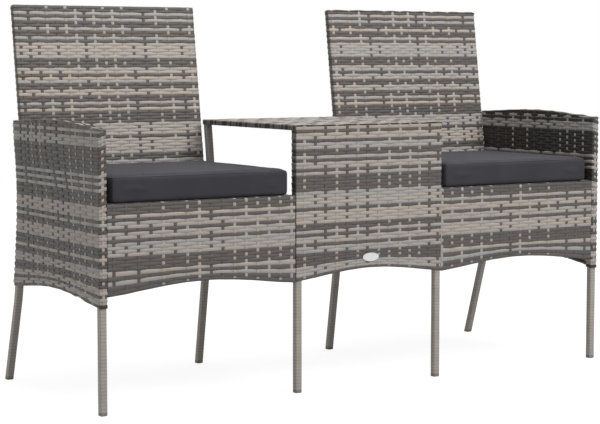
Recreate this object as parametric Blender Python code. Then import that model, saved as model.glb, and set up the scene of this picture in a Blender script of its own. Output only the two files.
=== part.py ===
"""Garden sofa for two with a tea table in the middle: square steel tube under a flat-strip resin weave.

Metres, +Z up, +X along the front, front at -Y. The front legs stand on the line y = 0 of the
"sofa" empty, which shifts the whole assembly so that the middle of its footprint is the origin.
"""

import math

import bmesh
import bpy
from mathutils import Vector

# Driving sizes of the whole sofa
LEG_SPAN = 1.300          # between the centres of the two outer front legs
TABLE_SPAN = 0.370        # between the centres of the two table legs
BACK_HEIGHT = 0.840       # floor to the top of the woven backs
TABLE_HEIGHT = 0.580      # floor to the woven table top
DECK_HEIGHT = 0.430       # floor to the woven seat deck
OUTER_FOOT_Y = 0.481      # outer rear feet, behind the front legs
INNER_FOOT_Y = 0.440      # table's rear feet, behind the front legs

# Tubes, rods and skins
TUBE = 0.015              # square tube of legs, posts, arms and seat frames
WALL = 0.001              # wall of every tube
CORNER = 0.0015           # rounding of a tube's long edges
BACK_TUBE = 0.011         # square tube of the back frames
TABLE_RAIL = 0.010        # height of the flat tube in the table top frame
ROD = 0.006               # round rod in the arched lower edges
ROD_SIDES = 8
SKIN = 0.0018             # woven skin, taken as a closed sheet
FIT = 0.0003              # gap between faces that touch

# Arms
ARM_FRONT_HEIGHT = 0.581  # weave on top of the arm, at the front leg
ARM_REAR_HEIGHT = 0.586   # weave on top of the arm, at the rear post
ARM_CROWN = 0.010         # rise of the arm's crest over the line between its ends
ARM_STEPS = 14

# Lean of the rear posts: straight foot, straight shank, straight top, joined by bends
FOOT_LEAN = math.radians(17.3)
SHANK_LEAN = math.radians(8.2)
BACK_TILT = math.radians(8.07)
FOOT_BEND_HEIGHT = 0.200
SHANK_BEND_HEIGHT = 0.4215
INNER_LEAN = math.radians(9.15)
INNER_BEND_HEIGHT = 0.427
FOOT_BEND_RADIUS = 0.30
POST_BEND_RADIUS = 0.60
BEND_STEPS = 6

# Backs
BACK_FACE_TOP_Y = 0.4537  # front of the weave, at the top of the back
BACK_INNER_X = 0.1887     # edge of the weave beside the table
BACK_ARM_GAP = 0.0004     # weave of the back to the skin inside the arm
BACK_TAIL = 0.0344        # back frame below the middle of the seat frame

# Skirts: lower edges of the woven fronts and sides
APRON_END_HEIGHT = 0.2445
APRON_RISE = 0.0180
SIDE_END_HEIGHT = 0.2205
SIDE_RISE = 0.0180
ARCH_STEPS = 12

# Foot caps
CAP_HEIGHT = 0.006
CAP_CHAMFER = 0.001
PLUG_HEIGHT = 0.022

# Cushions
CUSHION_THICK = 0.055
CUSHION_CROWN = 0.002
CUSHION_PULL = 0.002      # how far the middle of a side is drawn in
CUSHION_CORNER = 0.007
CUSHION_EDGE = 0.006
CUSHION_SETBACK = 0.006   # front of the cushion behind the front of the apron
CUSHION_SIDE_GAP = 0.0124  # cushion to the weave inside the arm
CUSHION_REAR_GAP = 0.0232  # cushion to the back, at the height of the deck

# Bolts
BOLT_RADIUS = 0.0025
BOLT_HEAD_RADIUS = 0.0045
BOLT_HEAD_HEIGHT = 0.0030
BOLT_THREAD = 0.0060      # length beyond the last wall
BOLT_SIDES = 12
BOLT_INSET = 0.055        # arm bolts from the seat frame's ends
BACK_BOLT_INSET = 0.070   # back bolts from the seat frame's sides

# Blank oval tag on the table front
TAG_WIDTH = 0.042
TAG_HEIGHT = 0.019
TAG_THICK = 0.0008
TAG_RISE = 0.023          # middle of the tag above the middle of the table's lower edge
TAG_SIDES = 32

# Heights and places that follow from the driving sizes
HALF = TUBE / 2
COVER = SKIN + FIT                                 # from a tube's face to the outside of its weave
ARM_X = LEG_SPAN / 2
TABLE_X = TABLE_SPAN / 2
ARM_INNER_X = ARM_X - HALF - COVER
TABLE_OUTER_X = TABLE_X + HALF + COVER
SEAT_INNER_X = TABLE_OUTER_X + FIT
SEAT_OUTER_X = ARM_INNER_X - FIT
SEAT_MIDDLE_X = (SEAT_INNER_X + SEAT_OUTER_X) / 2
SKIN_FRONT_Y = -HALF - COVER
FRAME_TOP = DECK_HEIGHT - COVER
FRAME_MIDDLE = FRAME_TOP - HALF
BACK_BOTTOM = FRAME_MIDDLE - BACK_TAIL
TABLE_FRAME_TOP = TABLE_HEIGHT - COVER
TABLE_LEG_TOP = TABLE_FRAME_TOP - TABLE_RAIL - FIT
SEAT_FRAME_OUTER_X = SEAT_OUTER_X - COVER
BACK_OUTER_X = ARM_INNER_X - BACK_ARM_GAP


def remove_everything():
    for obj in list(bpy.data.objects):
        bpy.data.objects.remove(obj)


def finish(name, colour, roughness, metallic=0.0):
    material = bpy.data.materials.new(name)
    material.use_nodes = True
    shader = material.node_tree.nodes["Principled BSDF"]
    shader.inputs["Base Color"].default_value = (*colour, 1.0)
    shader.inputs["Roughness"].default_value = roughness
    shader.inputs["Metallic"].default_value = metallic
    return material


remove_everything()
WEAVE = finish("grey_resin_weave", (0.25, 0.23, 0.21), 0.55)
WRAP = finish("taupe_wrapped_tube", (0.30, 0.28, 0.25), 0.55)
STEEL = finish("coated_frame_steel", (0.05, 0.045, 0.04), 0.45, 0.3)
CAP = finish("taupe_foot_plastic", (0.22, 0.20, 0.18), 0.6)
FABRIC = finish("anthracite_cushion_fabric", (0.06, 0.06, 0.07), 0.9)
ZINC = finish("zinc_plated_bolt", (0.55, 0.55, 0.57), 0.35, 1.0)
TAG = finish("pale_tag_metal", (0.85, 0.85, 0.83), 0.4, 0.2)

SOFA = bpy.data.objects.new("sofa", None)
bpy.context.scene.collection.objects.link(SOFA)


def add_object(name, mesh, material, smooth=False):
    """Puts a mesh in the scene under its node's name, carried by the sofa empty."""
    obj = bpy.data.objects.new(name, mesh)
    bpy.context.scene.collection.objects.link(obj)
    obj.parent = SOFA
    mesh.materials.append(material)
    if smooth:
        mesh.shade_smooth()
        mesh.set_sharp_from_angle(angle=math.radians(40))
    return obj


def mesh_of(name, build):
    """Makes a mesh from a function that fills a bmesh, with its faces turned outwards."""
    bm = bmesh.new()
    build(bm)
    bmesh.ops.recalc_face_normals(bm, faces=bm.faces)
    mesh = bpy.data.meshes.new(name)
    bm.to_mesh(mesh)
    bm.free()
    return mesh


def bridge(bm, first, second):
    for i in range(len(first)):
        j = (i + 1) % len(first)
        bm.faces.new((first[i], first[j], second[j], second[i]))


def loft(bm, rings, capped=True):
    """Joins rings of points in order, and closes both ends."""
    loops = [[bm.verts.new(point) for point in ring] for ring in rings]
    for first, second in zip(loops, loops[1:]):
        bridge(bm, first, second)
    if capped:
        bm.faces.new(loops[0])
        bm.faces.new(loops[-1])
    return loops


def box_profile(width, depth, corner):
    """Rectangle with cut corners, as (across, along) pairs, width across and depth along."""
    a = width / 2
    b = depth / 2
    return [
        (a - corner, -b), (a, -b + corner), (a, b - corner), (a - corner, b),
        (-a + corner, b), (-a, b - corner), (-a, -b + corner), (-a + corner, -b),
    ]


def path_sections(path, across, cuts):
    """For each point of a plane path: the point, and the direction and stretch of its mitre cut."""
    sections = []
    last = len(path) - 1
    for i, point in enumerate(path):
        before = (path[i] - path[i - 1]).normalized() if i else None
        after = (path[i + 1] - path[i]).normalized() if i < last else None
        along = ((before or after) + (after or before)).normalized()
        square = along.cross(across).normalized()
        cut = square
        if i == 0 and cuts[0] is not None:
            cut = cuts[0]
        if i == last and cuts[1] is not None:
            cut = cuts[1]
        edge = (after or before).cross(across).normalized()
        sections.append((point, cut, 1 / cut.dot(edge)))
    return sections


def swept_rings(path, across, profile, cuts=(None, None)):
    rings = []
    for point, cut, stretch in path_sections(path, across, cuts):
        rings.append([point + across * a + cut * (b * stretch) for a, b in profile])
    return rings


def tube_mesh(name, path, across, width, depth, cuts=(None, None)):
    """Open-ended tube along a plane path: width lies along across, depth in the path's plane."""
    outer = box_profile(width, depth, CORNER)
    inner = box_profile(width - 2 * WALL, depth - 2 * WALL, CORNER / 3)

    def build(bm):
        outside = loft(bm, swept_rings(path, across, outer, cuts), capped=False)
        inside = loft(bm, swept_rings(path, across, inner, cuts), capped=False)
        bridge(bm, outside[0], inside[0])
        bridge(bm, outside[-1], inside[-1])

    return mesh_of(name, build)


def ring_tube_mesh(name, x_range, y_range, middle_z, width, height):
    """Closed rectangular tube frame lying flat, welded from four mitred lengths."""
    outer = box_profile(width, height, CORNER)
    inner = box_profile(width - 2 * WALL, height - 2 * WALL, CORNER / 3)
    centre_x = (x_range[0] + x_range[1]) / 2
    centre_y = (y_range[0] + y_range[1]) / 2
    half_x = (x_range[1] - x_range[0]) / 2 - width / 2
    half_y = (y_range[1] - y_range[0]) / 2 - width / 2
    corners = [(1, 1), (-1, 1), (-1, -1), (1, -1)]

    def build(bm):
        for profile in (outer, inner):
            loops = []
            for sx, sy in corners:
                ring = [
                    (centre_x + sx * (half_x + a), centre_y + sy * (half_y + a), middle_z + b)
                    for a, b in profile
                ]
                loops.append([bm.verts.new(point) for point in ring])
            for i in range(4):
                bridge(bm, loops[i], loops[(i + 1) % 4])

    mesh = mesh_of(name, build)
    bm = bmesh.new()
    bm.from_mesh(mesh)
    count = len(bm.faces) // 2
    bm.faces.ensure_lookup_table()
    outside = [bm.faces[i] for i in range(count)]
    inside = [bm.faces[i] for i in range(count, 2 * count)]
    bmesh.ops.recalc_face_normals(bm, faces=outside)
    bmesh.ops.recalc_face_normals(bm, faces=inside)
    bmesh.ops.reverse_faces(bm, faces=inside)
    bm.to_mesh(mesh)
    bm.free()
    return mesh


def prism_mesh(name, outline, place, depth):
    """Closed prism: an outline of (u, v) pairs, run from depth[0] to depth[1]; place maps (u, v, w)."""

    def build(bm):
        first = [bm.verts.new(place(u, v, depth[0])) for u, v in outline]
        second = [bm.verts.new(place(u, v, depth[1])) for u, v in outline]
        bridge(bm, first, second)
        bm.faces.new(first)
        bm.faces.new(second)

    return mesh_of(name, build)


def helper(name, mesh):
    """A cutter or a piece to be joined: seen as wire only, and left out of the model."""
    obj = bpy.data.objects.new(name, mesh)
    bpy.context.scene.collection.objects.link(obj)
    obj.parent = SOFA
    obj.hide_render = True
    obj.display_type = "WIRE"
    return obj


def combine(obj, other, operation):
    modifier = obj.modifiers.new(other.name, "BOOLEAN")
    modifier.operation = operation
    modifier.solver = "EXACT"
    modifier.object = other
    return modifier


def joined_prisms(name, prisms, material):
    """One body from overlapping prisms: the first is the object, and the others are joined to it."""
    first = add_object(name, prisms[0], material)
    for i, mesh in enumerate(prisms[1:]):
        combine(first, helper(f"{name}_join_{i}", mesh), "UNION")
    return first


def bend(corner, before, after, radius, steps):
    """Points of the arc that rounds a corner between the points before and after it."""
    start = (before - corner).normalized()
    end = (after - corner).normalized()
    half_turn = (math.pi - start.angle(end)) / 2
    reach = radius * math.tan(half_turn)
    middle = corner + (start + end).normalized() * (radius / math.cos(half_turn))
    first = corner + start * reach - middle
    last = corner + end * reach - middle
    turn = first.angle(last)
    points = []
    for i in range(steps + 1):
        share = i / steps
        a = math.sin((1 - share) * turn) / math.sin(turn)
        b = math.sin(share * turn) / math.sin(turn)
        points.append(middle + first * a + last * b)
    return points


def post_path(foot_y, bends, top):
    """Centre line of a rear post in the plane x = 0, from the top of its foot cap to its top.

    bends holds (height, lean of the stretch below it, radius); the stretch above the last bend
    leans back with the seat back.
    """
    points = [Vector((0, foot_y, 0))]
    for height, lean, _ in bends:
        low = points[-1]
        points.append(Vector((0, low.y - math.tan(lean) * (height - low.z), height)))
    low = points[-1]
    points.append(Vector((0, low.y + math.tan(BACK_TILT) * (top - low.z), top)))
    start = points[0].lerp(points[1], (CAP_HEIGHT + FIT) / points[1].z)
    path = [start]
    for i, (_, _, radius) in enumerate(bends):
        path += bend(points[i + 1], points[i], points[i + 2], radius, BEND_STEPS)
    path.append(points[-1])
    return path


def y_at(path, height):
    """Where a post's centre line stands at a height."""
    for low, high in zip(path, path[1:]):
        if height <= high.z:
            break
    return low.y + (high.y - low.y) * (height - low.z) / (high.z - low.z)


OUTER_BENDS = [
    (FOOT_BEND_HEIGHT, FOOT_LEAN, FOOT_BEND_RADIUS),
    (SHANK_BEND_HEIGHT, SHANK_LEAN, POST_BEND_RADIUS),
]
INNER_BENDS = [(INNER_BEND_HEIGHT, INNER_LEAN, POST_BEND_RADIUS)]
ARM_POST_TOP = ARM_REAR_HEIGHT - COVER - TUBE - FIT
OUTER_POST = post_path(OUTER_FOOT_Y, OUTER_BENDS, ARM_POST_TOP)
INNER_POST = post_path(INNER_FOOT_Y, INNER_BENDS, TABLE_LEG_TOP)
X_AXIS = Vector((1, 0, 0))
LEVEL = Vector((0, 1, 0))
ARM_REAR_Y = OUTER_POST[-1].y + HALF / math.cos(BACK_TILT)
TABLE_REAR_Y = INNER_POST[-1].y + HALF
TAG_FRONT_Y = SKIN_FRONT_Y - FIT - TAG_THICK
REAR_REACH = OUTER_FOOT_Y + HALF / math.cos(FOOT_LEAN) - CAP_CHAMFER * math.tan(FOOT_LEAN)
SOFA.location.y = -(REAR_REACH + TAG_FRONT_Y) / 2


def crown_height(y):
    """Height of the weave on top of an arm."""
    share = (y - SKIN_FRONT_Y) / (ARM_REAR_Y + COVER - SKIN_FRONT_Y)
    ends = ARM_FRONT_HEIGHT + (ARM_REAR_HEIGHT - ARM_FRONT_HEIGHT) * share
    return ends + ARM_CROWN * math.sin(math.pi * min(max(share, 0), 1)) ** 1.5


def arch_height(share, end_height, rise):
    """Height of a skirt's lower edge, at a share of its length."""
    return end_height + rise * abs(math.sin(math.pi * share)) ** 1.3


def back_face_y(height):
    """Front of a back's weave at a height."""
    return BACK_FACE_TOP_Y - math.tan(BACK_TILT) * (BACK_HEIGHT - height)


SEAT_REAR_Y = back_face_y(FRAME_TOP - TUBE) - FIT


def spaced(low, high, steps):
    return [low + (high - low) * i / steps for i in range(steps + 1)]


RAIL_STATIONS = spaced(-HALF, ARM_REAR_Y, ARM_STEPS)


def rod_mesh(name, path, sides=ROD_SIDES):
    """Round bar along a path, closed at both ends, which are cut square to the path."""

    def build(bm):
        rings = []
        for i, point in enumerate(path):
            low = path[max(i - 1, 0)]
            high = path[min(i + 1, len(path) - 1)]
            along = (high - low).normalized()
            level = along.cross(Vector((0, 0, 1))).normalized()
            if i in (0, len(path) - 1):
                along = Vector((abs(round(along.x)), abs(round(along.y)), 0))
                level = along.cross(Vector((0, 0, 1)))
            upright = level.cross(along)
            turns = [2 * math.pi * k / sides for k in range(sides)]
            rings.append([
                point + (level * math.cos(t) + upright * math.sin(t)) * ROD / 2 for t in turns
            ])
        loft(bm, rings)

    return mesh_of(name, build)


def make_cap(name, x, foot_y, lean):
    """Plastic foot: a flange under the tube and a plug inside it."""
    slope = math.tan(lean)
    stretch = 1 / math.cos(lean)
    plug = TUBE - 2 * WALL - 2 * FIT
    levels = [
        (0, TUBE - 2 * CAP_CHAMFER, CORNER),
        (CAP_CHAMFER, TUBE, CORNER),
        (CAP_HEIGHT, TUBE, CORNER),
        (CAP_HEIGHT, plug, CORNER / 3),
        (PLUG_HEIGHT, plug, CORNER / 3),
    ]

    def build(bm):
        rings = []
        for z, size, corner in levels:
            profile = box_profile(size, size, corner)
            rings.append([(x + a, foot_y - slope * z + b * stretch, z) for a, b in profile])
        loft(bm, rings)

    add_object(name, mesh_of(name, build), CAP)


def shifted(path, x):
    return [Vector((x, point.y, point.z)) for point in path]


def make_front_leg(name, x, top):
    path = [Vector((x, 0, CAP_HEIGHT + FIT)), Vector((x, 0, top))]
    return add_object(name, tube_mesh(name, path, X_AXIS, TUBE, TUBE), WRAP)


def make_rear_post(name, x, path):
    mesh = tube_mesh(name, shifted(path, x), X_AXIS, TUBE, TUBE, (-LEVEL, -LEVEL))
    return add_object(name, mesh, WRAP, smooth=True)


def make_arm_rail(name, x):
    """Crowned tube from the front face of the front leg to the rear face of the rear post."""
    path = []
    for y in RAIL_STATIONS:
        path.append(Vector((x, y, crown_height(y) - COVER - HALF)))
    upright = Vector((0, 0, 1))
    return add_object(name, tube_mesh(name, path, X_AXIS, TUBE, TUBE, (upright, upright)), STEEL, smooth=True)


def make_arm_seat_rail(name, x):
    """Side rail at the height of the seat frame, between the front leg and the rear post."""
    low = y_at(OUTER_POST, FRAME_MIDDLE - HALF)
    high = y_at(OUTER_POST, FRAME_MIDDLE + HALF)
    end_y = min(low, high) - HALF / math.cos(BACK_TILT) - FIT
    path = [Vector((x, HALF + FIT, FRAME_MIDDLE)), Vector((x, end_y, FRAME_MIDDLE))]
    return add_object(name, tube_mesh(name, path, X_AXIS, TUBE, TUBE), STEEL)


def arm_outline(inset, bottom=SIDE_END_HEIGHT):
    """Front, top and rear of an arm's woven skin as (y, z) pairs, moved inwards by inset."""
    front_y = SKIN_FRONT_Y + inset
    rear_top_y = ARM_REAR_Y + COVER - inset
    points = [(front_y, bottom), (front_y, crown_height(-HALF) - inset)]
    for y in RAIL_STATIONS:
        points.append((y, crown_height(y) - inset))
    points.append((rear_top_y, crown_height(ARM_REAR_Y) - inset))
    points.append((rear_top_y, ARM_POST_TOP))
    knots = [p for p in reversed(OUTER_POST) if bottom < p.z < ARM_POST_TOP - TUBE]
    for p in knots:
        points.append((p.y + HALF / math.cos(BACK_TILT) + COVER - inset, p.z))
    rear_y = y_at(OUTER_POST, bottom) + HALF / math.cos(SHANK_LEAN) + COVER - inset
    points.append((rear_y, bottom))
    return points


def side_arch(y):
    low = SKIN_FRONT_Y
    high = y_at(OUTER_POST, SIDE_END_HEIGHT) + HALF / math.cos(SHANK_LEAN) + COVER
    return arch_height((y - low) / (high - low), SIDE_END_HEIGHT, SIDE_RISE)


def make_arm_weave(name, side):
    """Woven skin of an arm: outer panel, band round the edge, lip inside, inner panel over the seat."""
    outer_x = side * (ARM_X + HALF + COVER)
    outer_skin_x = side * (ARM_X + HALF + FIT)
    inner_x = side * ARM_INNER_X
    inner_skin_x = side * (ARM_INNER_X + SKIN)

    def place(u, v, w):
        return (w, u, v)

    edge = arm_outline(0)
    low_y = edge[0][0]
    high_y = edge[-1][0]
    arch = [(y, side_arch(y)) for y in spaced(high_y, low_y, ARCH_STEPS)][1:-1]
    panel = prism_mesh(name, edge + arch, place, (outer_skin_x, outer_x))
    band_outline = edge + arm_outline(SKIN)[::-1]
    band = prism_mesh(name + "_band", band_outline, place, (inner_x, outer_x))
    lip_outline = edge + arm_outline(COVER + TUBE)[::-1]
    lip = prism_mesh(name + "_lip", lip_outline, place, (inner_x, inner_skin_x))
    inner_outline = arm_outline(COVER + HALF, FRAME_TOP - TUBE)
    inner = prism_mesh(name + "_inner", inner_outline, place, (inner_x, inner_skin_x))
    hem_top = [(y, z + SKIN) for y, z in reversed(arch)]
    hem = prism_mesh(name + "_hem", arch + hem_top, place, (outer_x, outer_x - side * (COVER + ROD)))
    return joined_prisms(name, [panel, band, lip, inner, hem], WEAVE)


def make_side_rod(name, side):
    """Rod that the side skirt's lower edge is woven round."""
    x = side * (ARM_X + HALF - ROD / 2)
    low = HALF + FIT
    rear = y_at(OUTER_POST, SIDE_END_HEIGHT + COVER + ROD) - HALF / math.cos(FOOT_LEAN) - FIT
    path = [Vector((x, y, side_arch(y) + COVER + ROD / 2)) for y in spaced(low, rear, ARCH_STEPS)]
    add_object(name, rod_mesh(name, path), STEEL, smooth=True)


def make_arm(side, word):
    """One arm: front leg, rear post, arm rail, seat-height rail, skirt rod, weave and two foot caps."""
    x = side * ARM_X
    leg_top = crown_height(-HALF) - COVER - TUBE - FIT
    make_front_leg(f"{word}_arm_front_leg", x, leg_top)
    post = make_rear_post(f"{word}_arm_rear_post", x, OUTER_POST)
    make_arm_rail(f"{word}_arm_rail", x)
    rail = make_arm_seat_rail(f"{word}_arm_seat_rail", x)
    make_side_rod(f"{word}_arm_skirt_rod", side)
    weave = make_arm_weave(f"{word}_arm_weave", side)
    make_cap(f"{word}_front_foot_cap", x, 0, 0)
    make_cap(f"{word}_rear_foot_cap", x, OUTER_FOOT_Y, FOOT_LEAN)
    return [post, rail, weave]


BACK_UP = Vector((0, math.sin(BACK_TILT), math.cos(BACK_TILT)))
BACK_FRONT = Vector((0, -math.cos(BACK_TILT), math.sin(BACK_TILT)))
BACK_FOOT = Vector((0, back_face_y(0), 0))


def back_length(height):
    """Distance up the tilted face of a back to a height above the floor."""
    return height / math.cos(BACK_TILT)


def on_back(x, up, depth):
    """Point x across, up the tilted face and depth behind it."""
    return BACK_FOOT + X_AXIS * x + BACK_UP * up - BACK_FRONT * depth


def make_back(side, word):
    """One seat back: tube hoop, bottom rail and the woven skin that wraps both."""
    inner = side * (BACK_INNER_X + COVER + BACK_TUBE / 2)
    outer = side * (BACK_OUTER_X - COVER - BACK_TUBE / 2)
    top = back_length(BACK_HEIGHT) - COVER - BACK_TUBE / 2
    low = back_length(BACK_BOTTOM)
    depth = COVER + BACK_TUBE / 2
    corners = [(inner, low), (inner, top), (outer, top), (outer, low)]
    path = [on_back(x, up, depth) for x, up in corners]
    name = f"{word}_back_hoop"
    hoop = add_object(name, tube_mesh(name, path, BACK_FRONT, BACK_TUBE, BACK_TUBE), STEEL)

    name = f"{word}_back_bottom_rail"
    rail_up = (FRAME_MIDDLE - BACK_FOOT.z + math.sin(BACK_TILT) * depth) / math.cos(BACK_TILT)
    reach = side * (BACK_TUBE / 2 + FIT)
    ends = (inner + reach, outer - reach)
    path = [on_back(x, rail_up, depth) for x in ends]
    rail = add_object(name, tube_mesh(name, path, BACK_FRONT, BACK_TUBE, BACK_TUBE), STEEL)

    name = f"{word}_back_weave"
    full = back_length(BACK_HEIGHT)
    thick = BACK_TUBE + 2 * COVER

    def shell(inset, bottom):
        a = side * (BACK_INNER_X + inset)
        b = side * (BACK_OUTER_X - inset)
        return [(a, bottom), (a, full - inset), (b, full - inset), (b, bottom)]

    weave = add_object(name, prism_mesh(name, shell(0, low), on_back, (0, thick)), WEAVE)
    open_end = low - BACK_TUBE
    pocket = prism_mesh(name, shell(SKIN, open_end), on_back, (SKIN, thick - SKIN))
    combine(weave, helper(name + "_pocket", pocket), "DIFFERENCE")
    behind = prism_mesh(name, shell(COVER + BACK_TUBE, open_end), on_back, (thick / 2, 2 * thick))
    combine(weave, helper(name + "_behind", behind), "DIFFERENCE")
    return [hoop, rail, weave]


def apron_arch(x, low, high):
    return arch_height((x - low) / (high - low), APRON_END_HEIGHT, APRON_RISE)


def front_place(u, v, w):
    return (u, w, v)


def make_front_skirt(name, low, high, top, hem_inset=0.0):
    """Flat woven front with an arched lower edge, and the hem that goes round its rod.

    hem_inset is how far the hem stops short of the sides, where a leg stands behind the weave.
    """
    hem = [(x, apron_arch(x, low, high)) for x in spaced(high - hem_inset, low + hem_inset, ARCH_STEPS)]
    arch = hem
    if hem_inset:
        arch = [(high, APRON_END_HEIGHT)] + hem + [(low, APRON_END_HEIGHT)]
    outline = [(low, top), (high, top)] + arch
    panel = prism_mesh(name, outline, front_place, (SKIN_FRONT_Y, SKIN_FRONT_Y + SKIN))
    hem_top = [(x, z + SKIN) for x, z in reversed(hem)]
    hem_depth = (SKIN_FRONT_Y, SKIN_FRONT_Y + COVER + ROD)
    return [panel, prism_mesh(name + "_hem", hem + hem_top, front_place, hem_depth)]


def make_front_rod(name, low, high, skirt_low, skirt_high):
    y = SKIN_FRONT_Y + COVER + ROD / 2
    path = []
    for x in spaced(low, high, ARCH_STEPS):
        path.append(Vector((x, y, apron_arch(x, skirt_low, skirt_high) + COVER + ROD / 2)))
    add_object(name, rod_mesh(name, path), STEEL, smooth=True)


def ordered(side, inner, outer):
    """The two ends of a span beside the table, from low x to high x."""
    return tuple(sorted((side * inner, side * outer)))


def make_seat(side, word):
    """One seat: welded frame, woven deck, woven apron and the rod in its arched edge."""
    name = f"{word}_seat_frame"
    x_range = ordered(side, SEAT_INNER_X, SEAT_FRAME_OUTER_X)
    mesh = ring_tube_mesh(name, x_range, (-HALF, SEAT_REAR_Y), FRAME_MIDDLE, TUBE, TUBE)
    frame = add_object(name, mesh, STEEL)

    name = f"{word}_seat_deck"
    low, high = ordered(side, SEAT_INNER_X, SEAT_OUTER_X)
    outline = [(low, -HALF), (high, -HALF), (high, SEAT_REAR_Y), (low, SEAT_REAR_Y)]
    deck = prism_mesh(name, outline, lambda u, v, w: (u, v, w), (DECK_HEIGHT - SKIN, DECK_HEIGHT))
    add_object(name, deck, WEAVE)

    joined_prisms(f"{word}_apron_weave", make_front_skirt(f"{word}_apron_weave", low, high, DECK_HEIGHT), WEAVE)
    make_front_rod(f"{word}_apron_rod", low, high, low, high)
    return [frame]


def make_table():
    """Tea table: four legs, top frame, woven top, woven front with its rod, and a blank tag."""
    legs = {}
    for side, word in ((-1, "left"), (1, "right")):
        x = side * TABLE_X
        front = make_front_leg(f"table_{word}_front_leg", x, TABLE_LEG_TOP)
        rear = make_rear_post(f"table_{word}_rear_leg", x, INNER_POST)
        make_cap(f"table_{word}_front_foot_cap", x, 0, 0)
        make_cap(f"table_{word}_rear_foot_cap", x, INNER_FOOT_Y, INNER_LEAN)
        legs[side] = [front, rear]

    name = "table_top_frame"
    reach = TABLE_X + HALF
    middle = TABLE_FRAME_TOP - TABLE_RAIL / 2
    mesh = ring_tube_mesh(name, (-reach, reach), (-HALF, TABLE_REAR_Y), middle, TUBE, TABLE_RAIL)
    frame = add_object(name, mesh, STEEL)
    drain = cylinder_mesh("table_drain", Vector((0, 0, middle)), Vector((0, 0, -1)), BOLT_RADIUS, TABLE_RAIL)
    combine(frame, helper("table_drain", drain), "DIFFERENCE")

    name = "table_top_weave"
    top_place = lambda u, v, w: (u, v, w)
    front = SKIN_FRONT_Y
    rear = TABLE_REAR_Y + COVER

    def top_edge(inset):
        side_x = TABLE_OUTER_X - inset
        return [(-side_x, front + COVER + FIT), (-side_x, rear - inset), (side_x, rear - inset),
                (side_x, front + COVER + FIT)]

    plate_outline = [(-TABLE_OUTER_X, front), (-TABLE_OUTER_X, rear), (TABLE_OUTER_X, rear), (TABLE_OUTER_X, front)]
    plate = prism_mesh(name, plate_outline, top_place, (TABLE_HEIGHT - SKIN, TABLE_HEIGHT))
    skirt_bottom = TABLE_LEG_TOP + FIT
    band_outline = top_edge(0) + top_edge(SKIN)[::-1]
    band = prism_mesh(name + "_band", band_outline, top_place, (skirt_bottom, TABLE_HEIGHT))
    joined_prisms(name, [plate, band], WEAVE)

    name = "table_front_weave"
    inner_x = TABLE_X - HALF - FIT
    skirt_top = TABLE_HEIGHT - COVER
    pieces = make_front_skirt(name, -TABLE_OUTER_X, TABLE_OUTER_X, skirt_top, TABLE_OUTER_X - inner_x)
    for side in (-1, 1):
        low, high = ordered(side, TABLE_OUTER_X - SKIN, TABLE_OUTER_X)
        outline = [(low, SKIN_FRONT_Y), (high, SKIN_FRONT_Y), (high, HALF), (low, HALF)]
        pieces.append(prism_mesh(f"{name}_return", outline, top_place, (APRON_END_HEIGHT, TABLE_LEG_TOP)))
    weave = joined_prisms(name, pieces, WEAVE)
    make_front_rod("table_front_rod", -inner_x, inner_x, -TABLE_OUTER_X, TABLE_OUTER_X)
    make_tag()
    return legs, weave


def make_tag():
    """Small oval plate on the table's front skirt, left blank."""
    middle_z = APRON_END_HEIGHT + APRON_RISE + TAG_RISE
    outline = []
    for i in range(TAG_SIDES):
        turn = 2 * math.pi * i / TAG_SIDES
        outline.append((TAG_WIDTH / 2 * math.cos(turn), middle_z + TAG_HEIGHT / 2 * math.sin(turn)))
    mesh = prism_mesh("blank_tag", outline, front_place, (TAG_FRONT_Y, TAG_FRONT_Y + TAG_THICK))
    add_object("blank_tag", mesh, TAG)


def cushion_ring(inset, height, half_x, half_y):
    """Rounded rectangle whose sides are drawn in between the corners."""
    radius = max(CUSHION_CORNER - inset, CUSHION_CORNER / 4)
    a = half_x - inset
    b = half_y - inset
    points = []
    sides = [
        ((a, -b + radius), (a, b - radius), (a - radius, b - radius), 0, (-1, 0)),
        ((a - radius, b), (-a + radius, b), (-a + radius, b - radius), 90, (0, -1)),
        ((-a, b - radius), (-a, -b + radius), (-a + radius, -b + radius), 180, (1, 0)),
        ((-a + radius, -b), (a - radius, -b), (a - radius, -b + radius), 270, (0, 1)),
    ]
    for start, end, centre, angle, inward in sides:
        for share in spaced(0, 1, 9):
            pull = CUSHION_PULL * 4 * share * (1 - share)
            x = start[0] + (end[0] - start[0]) * share + inward[0] * pull
            y = start[1] + (end[1] - start[1]) * share + inward[1] * pull
            points.append((x, y, height))
        for turn in (22.5, 45, 67.5):
            t = math.radians(angle + turn)
            points.append((centre[0] + radius * math.cos(t), centre[1] + radius * math.sin(t), height))
    return points


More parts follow.
